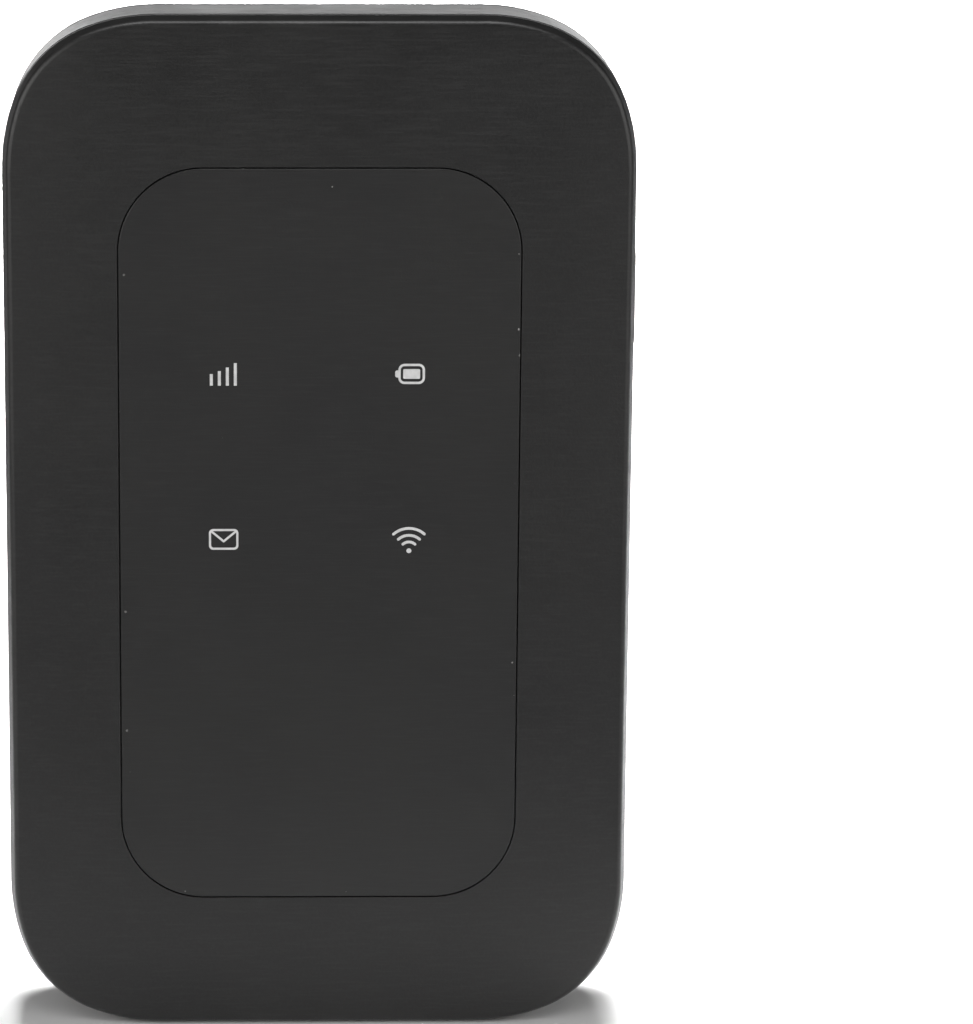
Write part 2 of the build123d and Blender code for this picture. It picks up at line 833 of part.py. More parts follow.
def power_switch():
    """The side switch on the board that the power button works."""
    body = block(
        (switch_left_x, switch_right_x),
        (board_back_y, board_back_y + switch_height),
        (button_z - switch_half_length, button_z + switch_half_length),
    )
    half_width = plunger_half_width + plunger_gap
    half_length = plunger_half_length + plunger_gap
    pocket = block(
        (plunger_foot_x - button_travel - 2 * plunger_gap, switch_right_x),
        (switch_y - half_width, switch_y + half_width),
        (button_z - half_length, button_z + half_length),
    )
    return body - pocket


def power_switch_plunger():
    """The switch's own small plunger, which the button's stem pushes."""
    return block(
        (plunger_foot_x, plunger_tip_x),
        (switch_y - plunger_half_width, switch_y + plunger_half_width),
        (button_z - plunger_half_length, button_z + plunger_half_length),
    )


def reset_switch():
    """The small switch on the board below the reset button."""
    body = chip(reset_x, reset_z, reset_switch_size, reset_switch_size, reset_switch_y - board_back_y)
    hole_radius = reset_foot_radius + 0.08
    hole_front_y = reset_foot_y - reset_travel - 0.1
    return body - post(reset_x, reset_z, hole_radius, hole_front_y, reset_switch_y)


def reset_button():
    """A pin-sized button, sunk in the floor of the battery bay."""
    cap_front_y = reset_switch_y + reset_travel + 0.1
    cap = post(reset_x, reset_z, reset_radius, cap_front_y, reset_top_y)
    return cap + post(reset_x, reset_z, reset_foot_radius, reset_foot_y, cap_front_y)


def usb_shell():
    """The metal shell of a micro socket: narrower towards the board, with a flared mouth."""
    plane = Plane(origin=(0, usb_y, usb_mouth_z), x_dir=(1, 0, 0), z_dir=(0, 0, 1))
    outer = usb_profile(0.0)
    inner = usb_profile(usb_wall)
    shell = extrude(plane * outer, amount=usb_depth)
    shell -= extrude(plane * inner, amount=usb_depth - usb_wall)
    return shell


def usb_profile(inset):
    """The socket's section: a rounded bar whose corners on the board side are cut slanting."""
    half_width = usb_shell_width / 2 - inset
    half_height = usb_shell_height / 2 - inset
    slant = 0.9
    corner = 0.3
    outline = Polyline(
        (-half_width, half_height),
        (half_width, half_height),
        (half_width, -half_height + slant),
        (half_width - slant, -half_height),
        (-half_width + slant, -half_height),
        (-half_width, -half_height + slant),
        close=True,
    )
    face = make_face(outline)
    return fillet(face.vertices(), corner)


def usb_tongue():
    """The plastic insert inside the socket: a thin tongue on a solid foot."""
    half_width = 1.9
    foot_z = usb_mouth_z + usb_depth - usb_wall
    return block((-half_width, half_width), (usb_tongue_y, usb_tongue_y + 0.6), (usb_mouth_z + 0.8, foot_z))


def usb_contacts():
    """Five contact strips along the tongue."""
    strips = Part()
    half_width = 0.2
    depth = (usb_tongue_y - 0.1, usb_tongue_y)
    for number in range(usb_contact_count):
        x = (number - (usb_contact_count - 1) / 2) * usb_contact_pitch
        strips += block((x - half_width, x + half_width), depth, (usb_mouth_z + 1.0, usb_mouth_z + 4.6))
    return strips


def sim_base():
    """The plastic floor of the SIM holder."""
    base = block(
        (sim_left_x + sim_metal, sim_right_x - sim_metal),
        (board_back_y, sim_base_y),
        (sim_low_z, sim_high_z - sim_metal),
    )
    for x, z in sim_contact_places():
        base -= block((x - 0.75, x + 0.75), (sim_base_y - 0.3, sim_base_y), (z - 1.5, z + 1.5))
    return base


def sim_contact_places():
    """The middles of the six SIM contacts."""
    middle_x = (sim_left_x + sim_right_x) / 2
    middle = (sim_low_z + sim_high_z) / 2
    return [(middle_x + side * 3.8, middle + step * 2.54 * 1.6) for side in (-1, 1) for step in (-1, 0, 1)]


def sim_shell():
    """The metal roof of the SIM holder, folded down on three sides and cut away over the contacts."""
    outer = block((sim_left_x, sim_right_x), (board_back_y, sim_roof_y), (sim_low_z, sim_high_z))
    inner = block(
        (sim_left_x + sim_metal, sim_right_x - sim_metal),
        (board_back_y, sim_roof_y - sim_metal),
        (sim_low_z, sim_high_z - sim_metal),
    )
    middle_x = (sim_left_x + sim_right_x) / 2
    window_half = 2.2
    window_z = (sim_low_z + 3.0, sim_high_z - 3.5)
    window = block((middle_x - window_half, middle_x + window_half), (sim_base_y, sim_roof_y), window_z)
    mouth = slab(Pos(middle_x, 0) * Circle(4.5), sim_base_y, sim_roof_y, sim_low_z)
    return outer - inner - window - mouth


def sim_contacts():
    """Six sprung contact strips in the holder's floor."""
    strips = Part()
    for x, z in sim_contact_places():
        strips += block((x - 0.5, x + 0.5), (sim_base_y - 0.2, sim_base_y + 0.05), (z - 1.3, z + 1.3))
    return strips


def antenna_carrier(place):
    """A moulded plastic block that holds a stamped antenna off the board, cut away for its clip."""
    left, right, low, high = place
    board_gap = 0.05
    corner = 0.6
    carrier = block((left, right), (board_back_y + board_gap, antenna_back_y), (low, high))
    carrier = fillet(carrier.edges().filter_by(Axis.Y), corner)
    room = 0.3
    clip_room = block(
        (left, left + antenna_margin + clip_width + 2 * room),
        (board_back_y, antenna_back_y),
        (low, low + antenna_margin + clip_length + 2 * room),
    )
    return carrier - clip_room


def antenna_sheet(place, slots):
    """A stamped antenna on the back of its carrier, folded back and forth by slots."""
    left, right, low, high = place
    depth = (antenna_back_y, antenna_back_y + antenna_metal)
    width = right - left - 2 * antenna_margin
    metal_x = (left + antenna_margin, right - antenna_margin)
    metal = block(metal_x, depth, (low + antenna_margin, high - antenna_margin))
    bridge = 1.2
    slot_half = 0.3
    for number in range(slots):
        x = left + antenna_margin + (number + 1) * width / (slots + 1)
        reach = (low, high - antenna_margin - bridge)
        if number % 2:
            reach = (low + antenna_margin + bridge, high)
        metal -= block((x - slot_half, x + slot_half), depth, reach)
    return metal


def antenna_clips():
    """A bent spring clip under each antenna, standing on the board."""
    clips = Part()
    height = (board_back_y, antenna_back_y - clip_gap)
    for left, right, low, high in (main_antenna_place, second_antenna_place, wifi_antenna_place):
        x = (left + antenna_margin, left + antenna_margin + clip_width)
        z = (low + antenna_margin, low + antenna_margin + clip_length)
        hollow = block(x, (height[0] + clip_metal, height[1] - clip_metal), (z[0] + clip_metal, z[1]))
        clips += block(x, height, z) - hollow
    return clips


def case_screws():
    """The four identical case screws, with a cross recess in each head."""
    screws = Part()
    head_back_y = screw_seat_y + screw_head_height
    head_edge = 0.3
    recess_depth = 0.45
    recess_long = 0.85
    recess_narrow = 0.17
    for x, z in screw_places():
        head = post(x, z, screw_head_radius, screw_seat_y, head_back_y)
        head = fillet(head.faces().sort_by(Axis.Y)[-1].edges(), head_edge)
        screw = head + post(x, z, screw_shank_radius, screw_tip_y, screw_seat_y)
        for half_x, half_z in ((recess_long, recess_narrow), (recess_narrow, recess_long)):
            depth = (head_back_y - recess_depth, head_back_y)
            screw -= block((x - half_x, x + half_x), depth, (z - half_z, z + half_z))
        screws += screw
    return screws


def icon_drawings():
    """The flat drawing of each icon."""
    return {
        "signal": signal_icon(),
        "battery": battery_icon(),
        "message": message_icon(),
        "wifi": wifi_icon(),
    }


def thermal_pad():
    """A soft heat pad between the largest shield and the floor of the battery bay."""
    return block((4.0, 19.0), (board_back_y + can_height, bay_floor_front_y), (33.0, 47.0))


def all_parts():
    """Every piece of the hotspot by name."""
    parts = {
        "front_cover": front_cover(),
        "front_panel": front_panel(),
        "panel_adhesive": panel_adhesive(),
        "light_guide": light_guide(),
        "light_shield": light_shield(),
        "status_lights": status_lights(),
        "main_board": main_board(),
        "rear_housing": rear_housing(),
        "rear_cover": rear_cover(),
        "moisture_dot": moisture_dot(),
        "foam_pad": foam_pad(),
        "battery_pack": battery_pack(),
        "battery_terminals": battery_terminals(),
        "battery_label": battery_label(),
        "contact_block": contact_block(),
        "contact_springs": contact_springs(),
        "power_button": power_button(),
        "power_switch": power_switch(),
        "power_switch_plunger": power_switch_plunger(),
        "reset_button": reset_button(),
        "reset_switch": reset_switch(),
        "usb_shell": usb_shell(),
        "usb_tongue": usb_tongue(),
        "usb_contacts": usb_contacts(),
        "sim_base": sim_base(),
        "sim_shell": sim_shell(),
        "sim_contacts": sim_contacts(),
        "baseband_shield": shield_can(11.5, 40.0, 21.0, 23.0),
        "baseband_chip": chip(8.0, 40.0, 11.0, 11.0),
        "memory_chip": chip(17.0, 40.0, 6.0, 10.0),
        "radio_shield": shield_can(11.0, 63.0, 20.0, 16.0),
        "transceiver_chip": chip(6.5, 63.0, 6.5, 6.5),
        "power_amplifiers": power_amplifiers(),
        "wifi_shield": shield_can(-14.0, 78.5, 16.0, 12.0),
        "wifi_chip": chip(-14.0, 78.5, 7.0, 7.0),
        "power_manager_chip": chip(-12.5, 26.5, 6.0, 6.0),
        "charger_chip": chip(-17.0, charger_z, 4.0, 4.0),
        "small_components": small_components(),
        "thermal_pad": thermal_pad(),
        "main_antenna_carrier": antenna_carrier(main_antenna_place),
        "main_antenna": antenna_sheet(main_antenna_place, 4),
        "second_antenna_carrier": antenna_carrier(second_antenna_place),
        "second_antenna": antenna_sheet(second_antenna_place, 5),
        "wifi_antenna_carrier": antenna_carrier(wifi_antenna_place),
        "wifi_antenna": antenna_sheet(wifi_antenna_place, 3),
        "antenna_clips": antenna_clips(),
        "case_screws": case_screws(),
    }
    for name, drawing in icon_drawings().items():
        parts[name + "_window"] = icon_window(name, drawing)
    return parts


os.makedirs("parts", exist_ok=True)
for name, shape in all_parts().items():
    export_step(shape, "parts/" + name + ".step")
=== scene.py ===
import json
import math

import bmesh
import bpy
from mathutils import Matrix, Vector, noise


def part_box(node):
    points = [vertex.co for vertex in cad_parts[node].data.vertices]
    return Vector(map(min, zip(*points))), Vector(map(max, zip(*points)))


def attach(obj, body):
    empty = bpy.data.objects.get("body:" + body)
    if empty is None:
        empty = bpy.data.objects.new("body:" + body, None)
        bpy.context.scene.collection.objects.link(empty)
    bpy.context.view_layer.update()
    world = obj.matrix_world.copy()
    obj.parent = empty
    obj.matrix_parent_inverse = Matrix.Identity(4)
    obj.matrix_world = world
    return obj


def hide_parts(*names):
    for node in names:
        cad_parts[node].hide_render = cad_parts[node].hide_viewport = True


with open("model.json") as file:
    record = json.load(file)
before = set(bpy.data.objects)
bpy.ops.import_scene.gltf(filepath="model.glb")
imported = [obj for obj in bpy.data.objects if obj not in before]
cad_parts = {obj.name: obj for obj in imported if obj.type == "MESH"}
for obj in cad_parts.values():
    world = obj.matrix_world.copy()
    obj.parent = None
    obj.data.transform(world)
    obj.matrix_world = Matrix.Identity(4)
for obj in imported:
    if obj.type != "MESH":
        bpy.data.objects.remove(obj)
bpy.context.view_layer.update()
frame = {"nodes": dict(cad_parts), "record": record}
nodes = frame["nodes"]

# Outlines and places of the CAD parts, for marks that follow them. Metres.
BODY_HALF = (0.0302, 0.050)
BODY_CORNER = 0.0145
PANEL_HALF = (0.01915, 0.03605)
PANEL_CORNER = 0.008
PANEL_MIDDLE_Z = 0.04955
BOARD_HALF = (0.0276, 0.0474)
BOARD_CORNER = 0.0120
LABEL_CORNER = 0.0010
WINDOWS = ("signal_window", "battery_window", "message_window", "wifi_window")
SCREW_PLACES = [(x, z) for x in (-0.0235, 0.0235) for z in (0.0085, 0.0915)]
BAY_FLOOR_Y = -0.0005
COVER_FLOOR_Y = 0.0058
EJECTOR_RADIUS = 0.0012
EJECTOR_WIDTH = 0.00012


def middle(node):
    """The middle of a node's box, in x and z."""
    low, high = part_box(node)
    return ((low[0] + high[0]) / 2, (low[2] + high[2]) / 2)


class Surface:
    """One material, built by short calls that add nodes and give back their output sockets."""

    def __init__(self, name):
        self.material = bpy.data.materials.new(name)
        self.material.use_nodes = True
        self.tree = self.material.node_tree
        self.tree.nodes.clear()
        self.place = self.add("ShaderNodeTexCoord").outputs["Object"]

    def add(self, kind, sockets=None, **settings):
        """A new node with its settings, and a value or a link for each named input."""
        node = self.tree.nodes.new(kind)
        for name, value in settings.items():
            setattr(node, name, value)
        for name, value in (sockets or {}).items():
            self.set(node.inputs[name], value)
        return node

    def set(self, socket, value):
        if isinstance(value, bpy.types.NodeSocket):
            self.tree.links.new(value, socket)
        elif socket.type == "RGBA":
            socket.default_value = (*value, 1.0)
        else:
            socket.default_value = value

    def maths(self, operation, a, b=0.0):
        node = self.add("ShaderNodeMath", operation=operation)
        self.set(node.inputs[0], a)
        self.set(node.inputs[1], b)
        return node.outputs[0]

    def vector(self, operation, a, b):
        node = self.add("ShaderNodeVectorMath", operation=operation)
        self.set(node.inputs[0], a)
        self.set(node.inputs[1], b)
        return node.outputs[0]

    def axes(self):
        """The place along x, y and z."""
        return self.add("ShaderNodeSeparateXYZ", {"Vector": self.place}).outputs

    def noise(self, size, detail=2.0, rough=0.5, stretch=(1, 1, 1), shift=(0, 0, 0)):
        """Soft noise from 0 to 1 whose features are about size metres, longer along stretch."""
        where = self.vector("ADD", self.place, shift)
        where = self.vector("MULTIPLY", where, [1 / s for s in stretch])
        node = self.add(
            "ShaderNodeTexNoise",
            {"Vector": where, "Scale": 0.5 / size, "Detail": detail, "Roughness": rough},
        )
        return node.outputs["Fac"]

    def cells(self, size, feature="F1", jitter=1.0, metric="EUCLIDEAN"):
        """Scattered points about size metres apart: the node, whose Distance is in cells."""
        return self.add(
            "ShaderNodeTexVoronoi",
            {"Vector": self.place, "Scale": 1 / size, "Randomness": jitter},
            feature=feature,
            distance=metric,
        )

    def ramp(self, value, low, high, out_low=0.0, out_high=1.0):
        """value carried smoothly from low..high to out_low..out_high."""
        sockets = {"Value": value, "From Min": low, "From Max": high}
        sockets.update({"To Min": out_low, "To Max": out_high})
        node = self.add("ShaderNodeMapRange", sockets, interpolation_type="SMOOTHSTEP")
        return node.outputs["Result"]

    def mix(self, share, a, b):
        """Colour a where share is 0 and colour b where it is 1."""
        node = self.add("ShaderNodeMix", data_type="RGBA")
        self.set(node.inputs[0], share)
        self.set(node.inputs[6], a)
        self.set(node.inputs[7], b)
        return node.outputs[2]

    def dust(self, spacing, size, share):
        """Ragged specks of uneven size and strength, in a share of cells that are spacing wide."""
        points = self.cells(spacing)
        pick = self.add("ShaderNodeSeparateColor", {"Color": points.outputs["Color"]}).outputs
        ragged = self.maths("ADD", self.noise(size / 2, detail=2.0), 0.5)
        reach = self.maths("MULTIPLY", self.maths("MULTIPLY", pick[1], size / spacing), ragged)
        near = self.maths("LESS_THAN", points.outputs["Distance"], reach)
        chosen = self.maths("MULTIPLY", near, self.maths("LESS_THAN", pick[0], share))
        return self.maths("MULTIPLY", chosen, pick[2])

    def nearest(self, places):
        """The distance across the front, in x and z, to the nearest of some places."""
        x, _, z = self.axes()
        best = None
        for place_x, place_z in places:
            squares = [
                self.maths("POWER", self.maths("SUBTRACT", axis, value), 2.0)
                for axis, value in ((x, place_x), (z, place_z))
            ]
            away = self.maths("SQRT", self.maths("ADD", *squares))
            best = away if best is None else self.maths("MINIMUM", best, away)
        return best

    def near_along(self, axis, values):
        """The distance along one axis to the nearest of some values."""
        best = None
        for value in sorted(set(values)):
            away = self.maths("ABSOLUTE", self.maths("SUBTRACT", self.axes()[axis], value))
            best = away if best is None else self.maths("MINIMUM", best, away)
        return best

    def inside(self, half, corner, middle_z):
        """How far a place is inside a rounded upright rectangle, in metres."""
        x, _, z = self.axes()
        across = self.maths("SUBTRACT", self.maths("ABSOLUTE", x), half[0] - corner)
        up = self.maths("ABSOLUTE", self.maths("SUBTRACT", z, middle_z))
        up = self.maths("SUBTRACT", up, half[1] - corner)
        past_x = self.maths("MAXIMUM", across, 0.0)
        past_z = self.maths("MAXIMUM", up, 0.0)
        squares = [self.maths("POWER", past, 2.0) for past in (past_x, past_z)]
        past = self.maths("SQRT", self.maths("ADD", *squares))
        within = self.maths("MINIMUM", self.maths("MAXIMUM", across, up), 0.0)
        distance = self.maths("ADD", past, within)
        return self.maths("SUBTRACT", corner, distance)

    def bump(self, height, depth, under=None):
        """A normal from a height of 0 to 1 that stands for depth metres."""
        sockets = {"Height": height, "Distance": depth, "Strength": 1.0}
        if under is not None:
            sockets["Normal"] = under
        return self.add("ShaderNodeBump", sockets).outputs["Normal"]

    def finish(self, **sockets):
        """Joins the named inputs to a Principled shader and gives back the material."""
        names = {key.replace("_", " "): value for key, value in sockets.items()}
        shader = self.add("ShaderNodeBsdfPrincipled", names)
        output = self.add("ShaderNodeOutputMaterial")
        self.tree.links.new(shader.outputs["BSDF"], output.inputs["Surface"])
        return self.material


def black_shell():
    """Satin black plastic: spark-eroded grain, faint sideways drag lines, smudges and dust."""
    s = Surface("black_shell")
    grain = s.noise(0.00013, detail=3.0, rough=0.6)
    drag = s.noise(0.00011, detail=2.0, stretch=(16, 1, 1))
    cloud = s.noise(0.011, detail=3.0, rough=0.55)
    smudge = s.noise(0.006, detail=4.0, rough=0.65, shift=(0.1, 0.02, 0.03))
    edge = s.inside(BODY_HALF, BODY_CORNER, BODY_HALF[1])
    handled = s.ramp(edge, 0.0016, 0.0001)
    worn = s.maths("MULTIPLY", handled, s.ramp(smudge, 0.42, 0.62))
    black = s.mix(s.ramp(cloud, 0.3, 0.7), (0.0078, 0.0078, 0.0080), (0.0104, 0.0103, 0.0101))
    black = s.mix(s.ramp(grain, 0.35, 0.75, 0.0, 0.35), black, (0.020, 0.020, 0.020))
    black = s.mix(s.ramp(drag, 0.45, 0.75, 0.0, 0.30), black, (0.026, 0.026, 0.026))
    black = s.mix(s.maths("MULTIPLY", worn, 0.25), black, (0.034, 0.033, 0.032))
    dust = s.dust(0.0050, 0.00011, 0.45)
    colour = s.mix(s.maths("MULTIPLY", dust, 0.5), black, (0.30, 0.295, 0.285))
    rough = s.ramp(smudge, 0.3, 0.7, 0.38, 0.46)
    rough = s.maths("ADD", rough, s.ramp(drag, 0.3, 0.7, -0.03, 0.03))
    rough = s.maths("SUBTRACT", rough, s.maths("MULTIPLY", worn, 0.07))
    rough = s.maths("ADD", rough, s.maths("MULTIPLY", dust, 0.4))
    normal = s.bump(grain, 0.000016)
    normal = s.bump(drag, 0.000007, normal)
    return s.finish(Base_Color=colour, Roughness=rough, Normal=normal, IOR=1.48)


def black_panel():
    """Satin film on the inlay: finer grain than the shell, drawn sideways, dust and faint rubs."""
    s = Surface("black_panel")
    grain = s.noise(0.00009, detail=2.0)
    drawn = s.noise(0.00009, detail=3.0, rough=0.6, stretch=(24, 1, 1))
    cloud = s.noise(0.009, detail=3.0, shift=(0.2, 0.0, 0.1))
    rub = s.noise(0.005, detail=4.0, rough=0.7, shift=(0.05, 0.1, 0.0))
    black = s.mix(s.ramp(cloud, 0.3, 0.7), (0.0105, 0.0105, 0.0108), (0.0130, 0.0129, 0.0126))
    black = s.mix(s.ramp(drawn, 0.4, 0.8, 0.0, 0.28), black, (0.030, 0.030, 0.030))
    dust = s.dust(0.0056, 0.00010, 0.4)
    rim = s.inside(PANEL_HALF, PANEL_CORNER, PANEL_MIDDLE_Z)
    lint = s.maths("MULTIPLY", s.dust(0.0011, 0.00018, 0.55), s.ramp(rim, 0.0009, 0.0003, 0.0, 1.4))
    dust = s.maths("MINIMUM", s.maths("MAXIMUM", dust, lint), 1.0)
    colour = s.mix(s.maths("MULTIPLY", dust, 0.7), black, (0.36, 0.355, 0.345))
    rough = s.ramp(rub, 0.3, 0.7, 0.35, 0.42)
    rough = s.maths("ADD", rough, s.ramp(drawn, 0.3, 0.7, -0.03, 0.03))
    normal = s.bump(grain, 0.000006)
    normal = s.bump(drawn, 0.0000045, normal)
    return s.finish(Base_Color=colour, Roughness=rough, Normal=normal, IOR=1.5)


def pale_icon():
    """Milky translucent plastic, flush in the panel, slightly uneven in its whiteness."""
    s = Surface("pale_icon")
    cloud = s.noise(0.0004, detail=2.0)
    colour = s.mix(s.ramp(cloud, 0.3, 0.7), (0.60, 0.60, 0.60), (0.70, 0.70, 0.70))
    normal = s.bump(s.noise(0.00008), 0.000003)
    rough = s.ramp(cloud, 0.3, 0.7, 0.42, 0.5)
    return s.finish(Base_Color=colour, Roughness=rough, Normal=normal, IOR=1.5)


def moulded(name, dark, light, rough, grain_size=0.00012, grain_depth=0.000008, fleck=None):
    """A moulded plastic: fine grain, clouds and flow lines, rubs, flecks of filler or dust."""
    s = Surface(name)
    grain = s.noise(grain_size, detail=3.0, rough=0.6)
    cloud = s.noise(0.0035, detail=4.0, rough=0.6)
    flow = s.noise(0.0009, detail=3.0, rough=0.6, stretch=(1, 1, 6), shift=(0.2, 0.1, 0))
    rub = s.noise(0.0018, detail=4.0, rough=0.7, shift=(0.3, 0, 0))
    colour = s.mix(s.ramp(cloud, 0.3, 0.7), dark, light)
    colour = s.mix(s.ramp(flow, 0.5, 0.75, 0.0, 0.35), colour, light)
    flecks = s.dust(0.0011, 0.00005, 0.5)
    fleck = fleck or [min(1.0, 2.5 * value) for value in light]
    colour = s.mix(s.maths("MULTIPLY", flecks, 0.5), colour, fleck)
    roughness = s.ramp(rub, 0.3, 0.7, rough - 0.06, rough + 0.06)
    normal = s.bump(grain, grain_depth)
    normal = s.bump(flow, 0.000006, normal)
    return s.finish(Base_Color=colour, Roughness=roughness, Normal=normal, IOR=1.5)


def metal(name, dark, light, stain, rough, drawn):
    """A rolled or stamped metal: lines along the strip, clouds, handling marks and dull stains."""
    s = Surface(name)
    lines = s.noise(0.00005, detail=3.0, rough=0.65, stretch=drawn)
    cloud = s.noise(0.0022, detail=4.0, rough=0.6)
    print_marks = s.noise(0.0016, detail=4.0, rough=0.6, shift=(0.2, 0.1, 0.0))
    colour = s.mix(s.ramp(cloud, 0.3, 0.7), dark, light)
    colour = s.mix(s.ramp(print_marks, 0.50, 0.78, 0.0, 0.28), colour, stain)
    colour = s.mix(s.ramp(lines, 0.55, 0.8, 0.0, 0.25), colour, dark)
    roughness = s.ramp(print_marks, 0.35, 0.75, rough - 0.02, rough + 0.07)
    roughness = s.maths("ADD", roughness, s.ramp(lines, 0.3, 0.7, -0.04, 0.04))
    normal = s.bump(lines, 0.000003)
    normal = s.bump(print_marks, 0.0000012, normal)
    return s.finish(Base_Color=colour, Metallic=1.0, Roughness=roughness, Normal=normal)


def clear_plastic():
    """Clear acrylic: faint flow lines, a haze of fine scratches and a few specks."""
    s = Surface("clear_plastic")
    flow = s.noise(0.0014, detail=3.0, stretch=(1, 1, 4))
    haze = s.noise(0.0004, detail=4.0, rough=0.7)
    tint = s.mix(s.ramp(flow, 0.3, 0.7), (0.90, 0.93, 0.93), (0.96, 0.98, 0.98))
    tint = s.mix(s.maths("MULTIPLY", s.dust(0.0018, 0.00007, 0.4), 0.4), tint, (0.5, 0.5, 0.5))
    rough = s.ramp(haze, 0.4, 0.75, 0.06, 0.26)
    normal = s.bump(flow, 0.00001)
    return s.finish(
        Base_Color=tint, Roughness=rough, Normal=normal, IOR=1.49, Transmission_Weight=0.9
    )


def black_rubber():
    """Soft black rubber: fine pores and a little grey talc in its hollows."""
    s = Surface("black_rubber")
    pores = s.noise(0.00016, detail=4.0, rough=0.7)
    talc = s.noise(0.0014, detail=5.0, rough=0.75)
    black = s.mix(s.ramp(pores, 0.3, 0.7), (0.013, 0.013, 0.013), (0.024, 0.024, 0.024))
    colour = s.mix(s.ramp(talc, 0.55, 0.78, 0.0, 0.35), black, (0.16, 0.16, 0.155))
    rough = s.ramp(talc, 0.3, 0.7, 0.68, 0.9)
    normal = s.bump(pores, 0.00003)
    return s.finish(
        Base_Color=colour, Roughness=rough, Normal=normal, Sheen_Weight=0.15, IOR=1.46
    )


def light_package():
    """White ceramic light packages, each with a round yellow lens and plated ends."""
    s = Surface("light_package")
    away = s.nearest([middle(window) for window in WINDOWS])
    x_away = s.near_along(0, [middle(window)[0] for window in WINDOWS])
    lens = s.ramp(away, 0.00034, 0.00030)
    plated = s.ramp(x_away, 0.00062, 0.00064)
    grain = s.noise(0.00006, detail=3.0)
    ceramic = s.mix(s.ramp(grain, 0.3, 0.7), (0.74, 0.74, 0.71), (0.84, 0.84, 0.82))
    colour = s.mix(lens, ceramic, (0.86, 0.74, 0.22))
    colour = s.mix(plated, colour, (0.72, 0.70, 0.66))
    rough = s.mix(lens, (0.45, 0.45, 0.45), (0.16, 0.16, 0.16))
    rough = s.maths("ADD", rough, s.ramp(grain, 0.3, 0.7, -0.05, 0.05))
    return s.finish(
        Base_Color=colour, Metallic=plated, Roughness=rough, Normal=s.bump(grain, 0.000004), IOR=1.5
    )


def circuit_board():
    """Green solder mask over copper traces, small plated holes painted near-black as shade, and a
    pale edge where it was cut.
    """
    s = Surface("board")
    nearest = s.cells(0.0014, "F1", metric="CHEBYCHEV").outputs["Distance"]
    second = s.cells(0.0014, "F2", metric="CHEBYCHEV").outputs["Distance"]
    gap = s.maths("SUBTRACT", second, nearest)
    trace = s.ramp(gap, 0.20, 0.12)
    via = s.cells(0.0023, "F1", jitter=0.55).outputs["Distance"]
    ring = s.ramp(via, 0.105, 0.095)
    hole_painted_shade = s.ramp(via, 0.060, 0.050)
    weave = s.noise(0.00018, detail=2.0)
    cloud = s.noise(0.006, detail=3.0)
    mask = s.mix(s.ramp(cloud, 0.3, 0.7), (0.006, 0.052, 0.022), (0.009, 0.070, 0.032))
    mask = s.mix(s.maths("MULTIPLY", trace, 0.7), mask, (0.030, 0.150, 0.062))
    edge = s.inside(BOARD_HALF, BOARD_CORNER, BODY_HALF[1])
    cut = s.ramp(edge, 0.00006, 0.00003)
    colour = s.mix(ring, mask, (0.83, 0.62, 0.28))
    # painted shade: the holes are painted near-black for the shade inside them
    colour = s.mix(hole_painted_shade, colour, (0.004, 0.004, 0.004))
    colour = s.mix(cut, colour, (0.33, 0.31, 0.15))
    bright = s.maths("MULTIPLY", ring, s.maths("SUBTRACT", 1.0, hole_painted_shade))
    rough = s.ramp(cloud, 0.3, 0.7, 0.24, 0.34)
    rough = s.maths("ADD", rough, s.maths("MULTIPLY", cut, 0.4))
    normal = s.bump(trace, 0.00002)
    normal = s.bump(weave, 0.000005, normal)
    normal = s.bump(hole_painted_shade, -0.00004, normal)
    return s.finish(Base_Color=colour, Metallic=bright, Roughness=rough, Normal=normal, IOR=1.52)


def tissue_tape():
    """Black double-sided tape: long fibres in a dull adhesive."""
    s = Surface("tape")
    fibres = s.noise(0.00011, detail=4.0, rough=0.7, stretch=(7, 1, 1))
    cross = s.noise(0.00012, detail=4.0, rough=0.7, stretch=(1, 1, 8), shift=(0.3, 0, 0.1))
    both = s.maths("MAXIMUM", fibres, cross)
    colour = s.mix(s.ramp(both, 0.5, 0.72), (0.020, 0.020, 0.021), (0.085, 0.084, 0.082))
    rough = s.ramp(both, 0.45, 0.75, 0.45, 0.75)
    return s.finish(Base_Color=colour, Roughness=rough, Normal=s.bump(both, 0.00003))


def open_foam():
    """Black polyurethane foam: open cells of about a third of a millimetre, painted near-black as
    shade in their hollows, between struts painted paler.
    """
    s = Surface("foam")
    cell = s.cells(0.00042, "F1").outputs["Distance"]
    fine = s.noise(0.00012, detail=3.0, rough=0.7)
    shaded_open_cell = s.ramp(cell, 0.62, 0.30)
    # painted shade: the open cells are painted near-black and the struts paler, standing for the
    # shade in the pores
    colour = s.mix(shaded_open_cell, (0.060, 0.060, 0.062), (0.008, 0.008, 0.008))
    worn = s.ramp(s.noise(0.004, detail=3.0), 0.45, 0.75, 0.0, 0.4)
    colour = s.mix(worn, colour, (0.085, 0.083, 0.080))
    normal = s.bump(s.maths("SUBTRACT", 1.0, shaded_open_cell), 0.00012)
    normal = s.bump(fine, 0.00003, normal)
    rough = s.ramp(fine, 0.3, 0.7, 0.85, 0.98)
    return s.finish(Base_Color=colour, Roughness=rough, Normal=normal, Sheen_Weight=0.3)


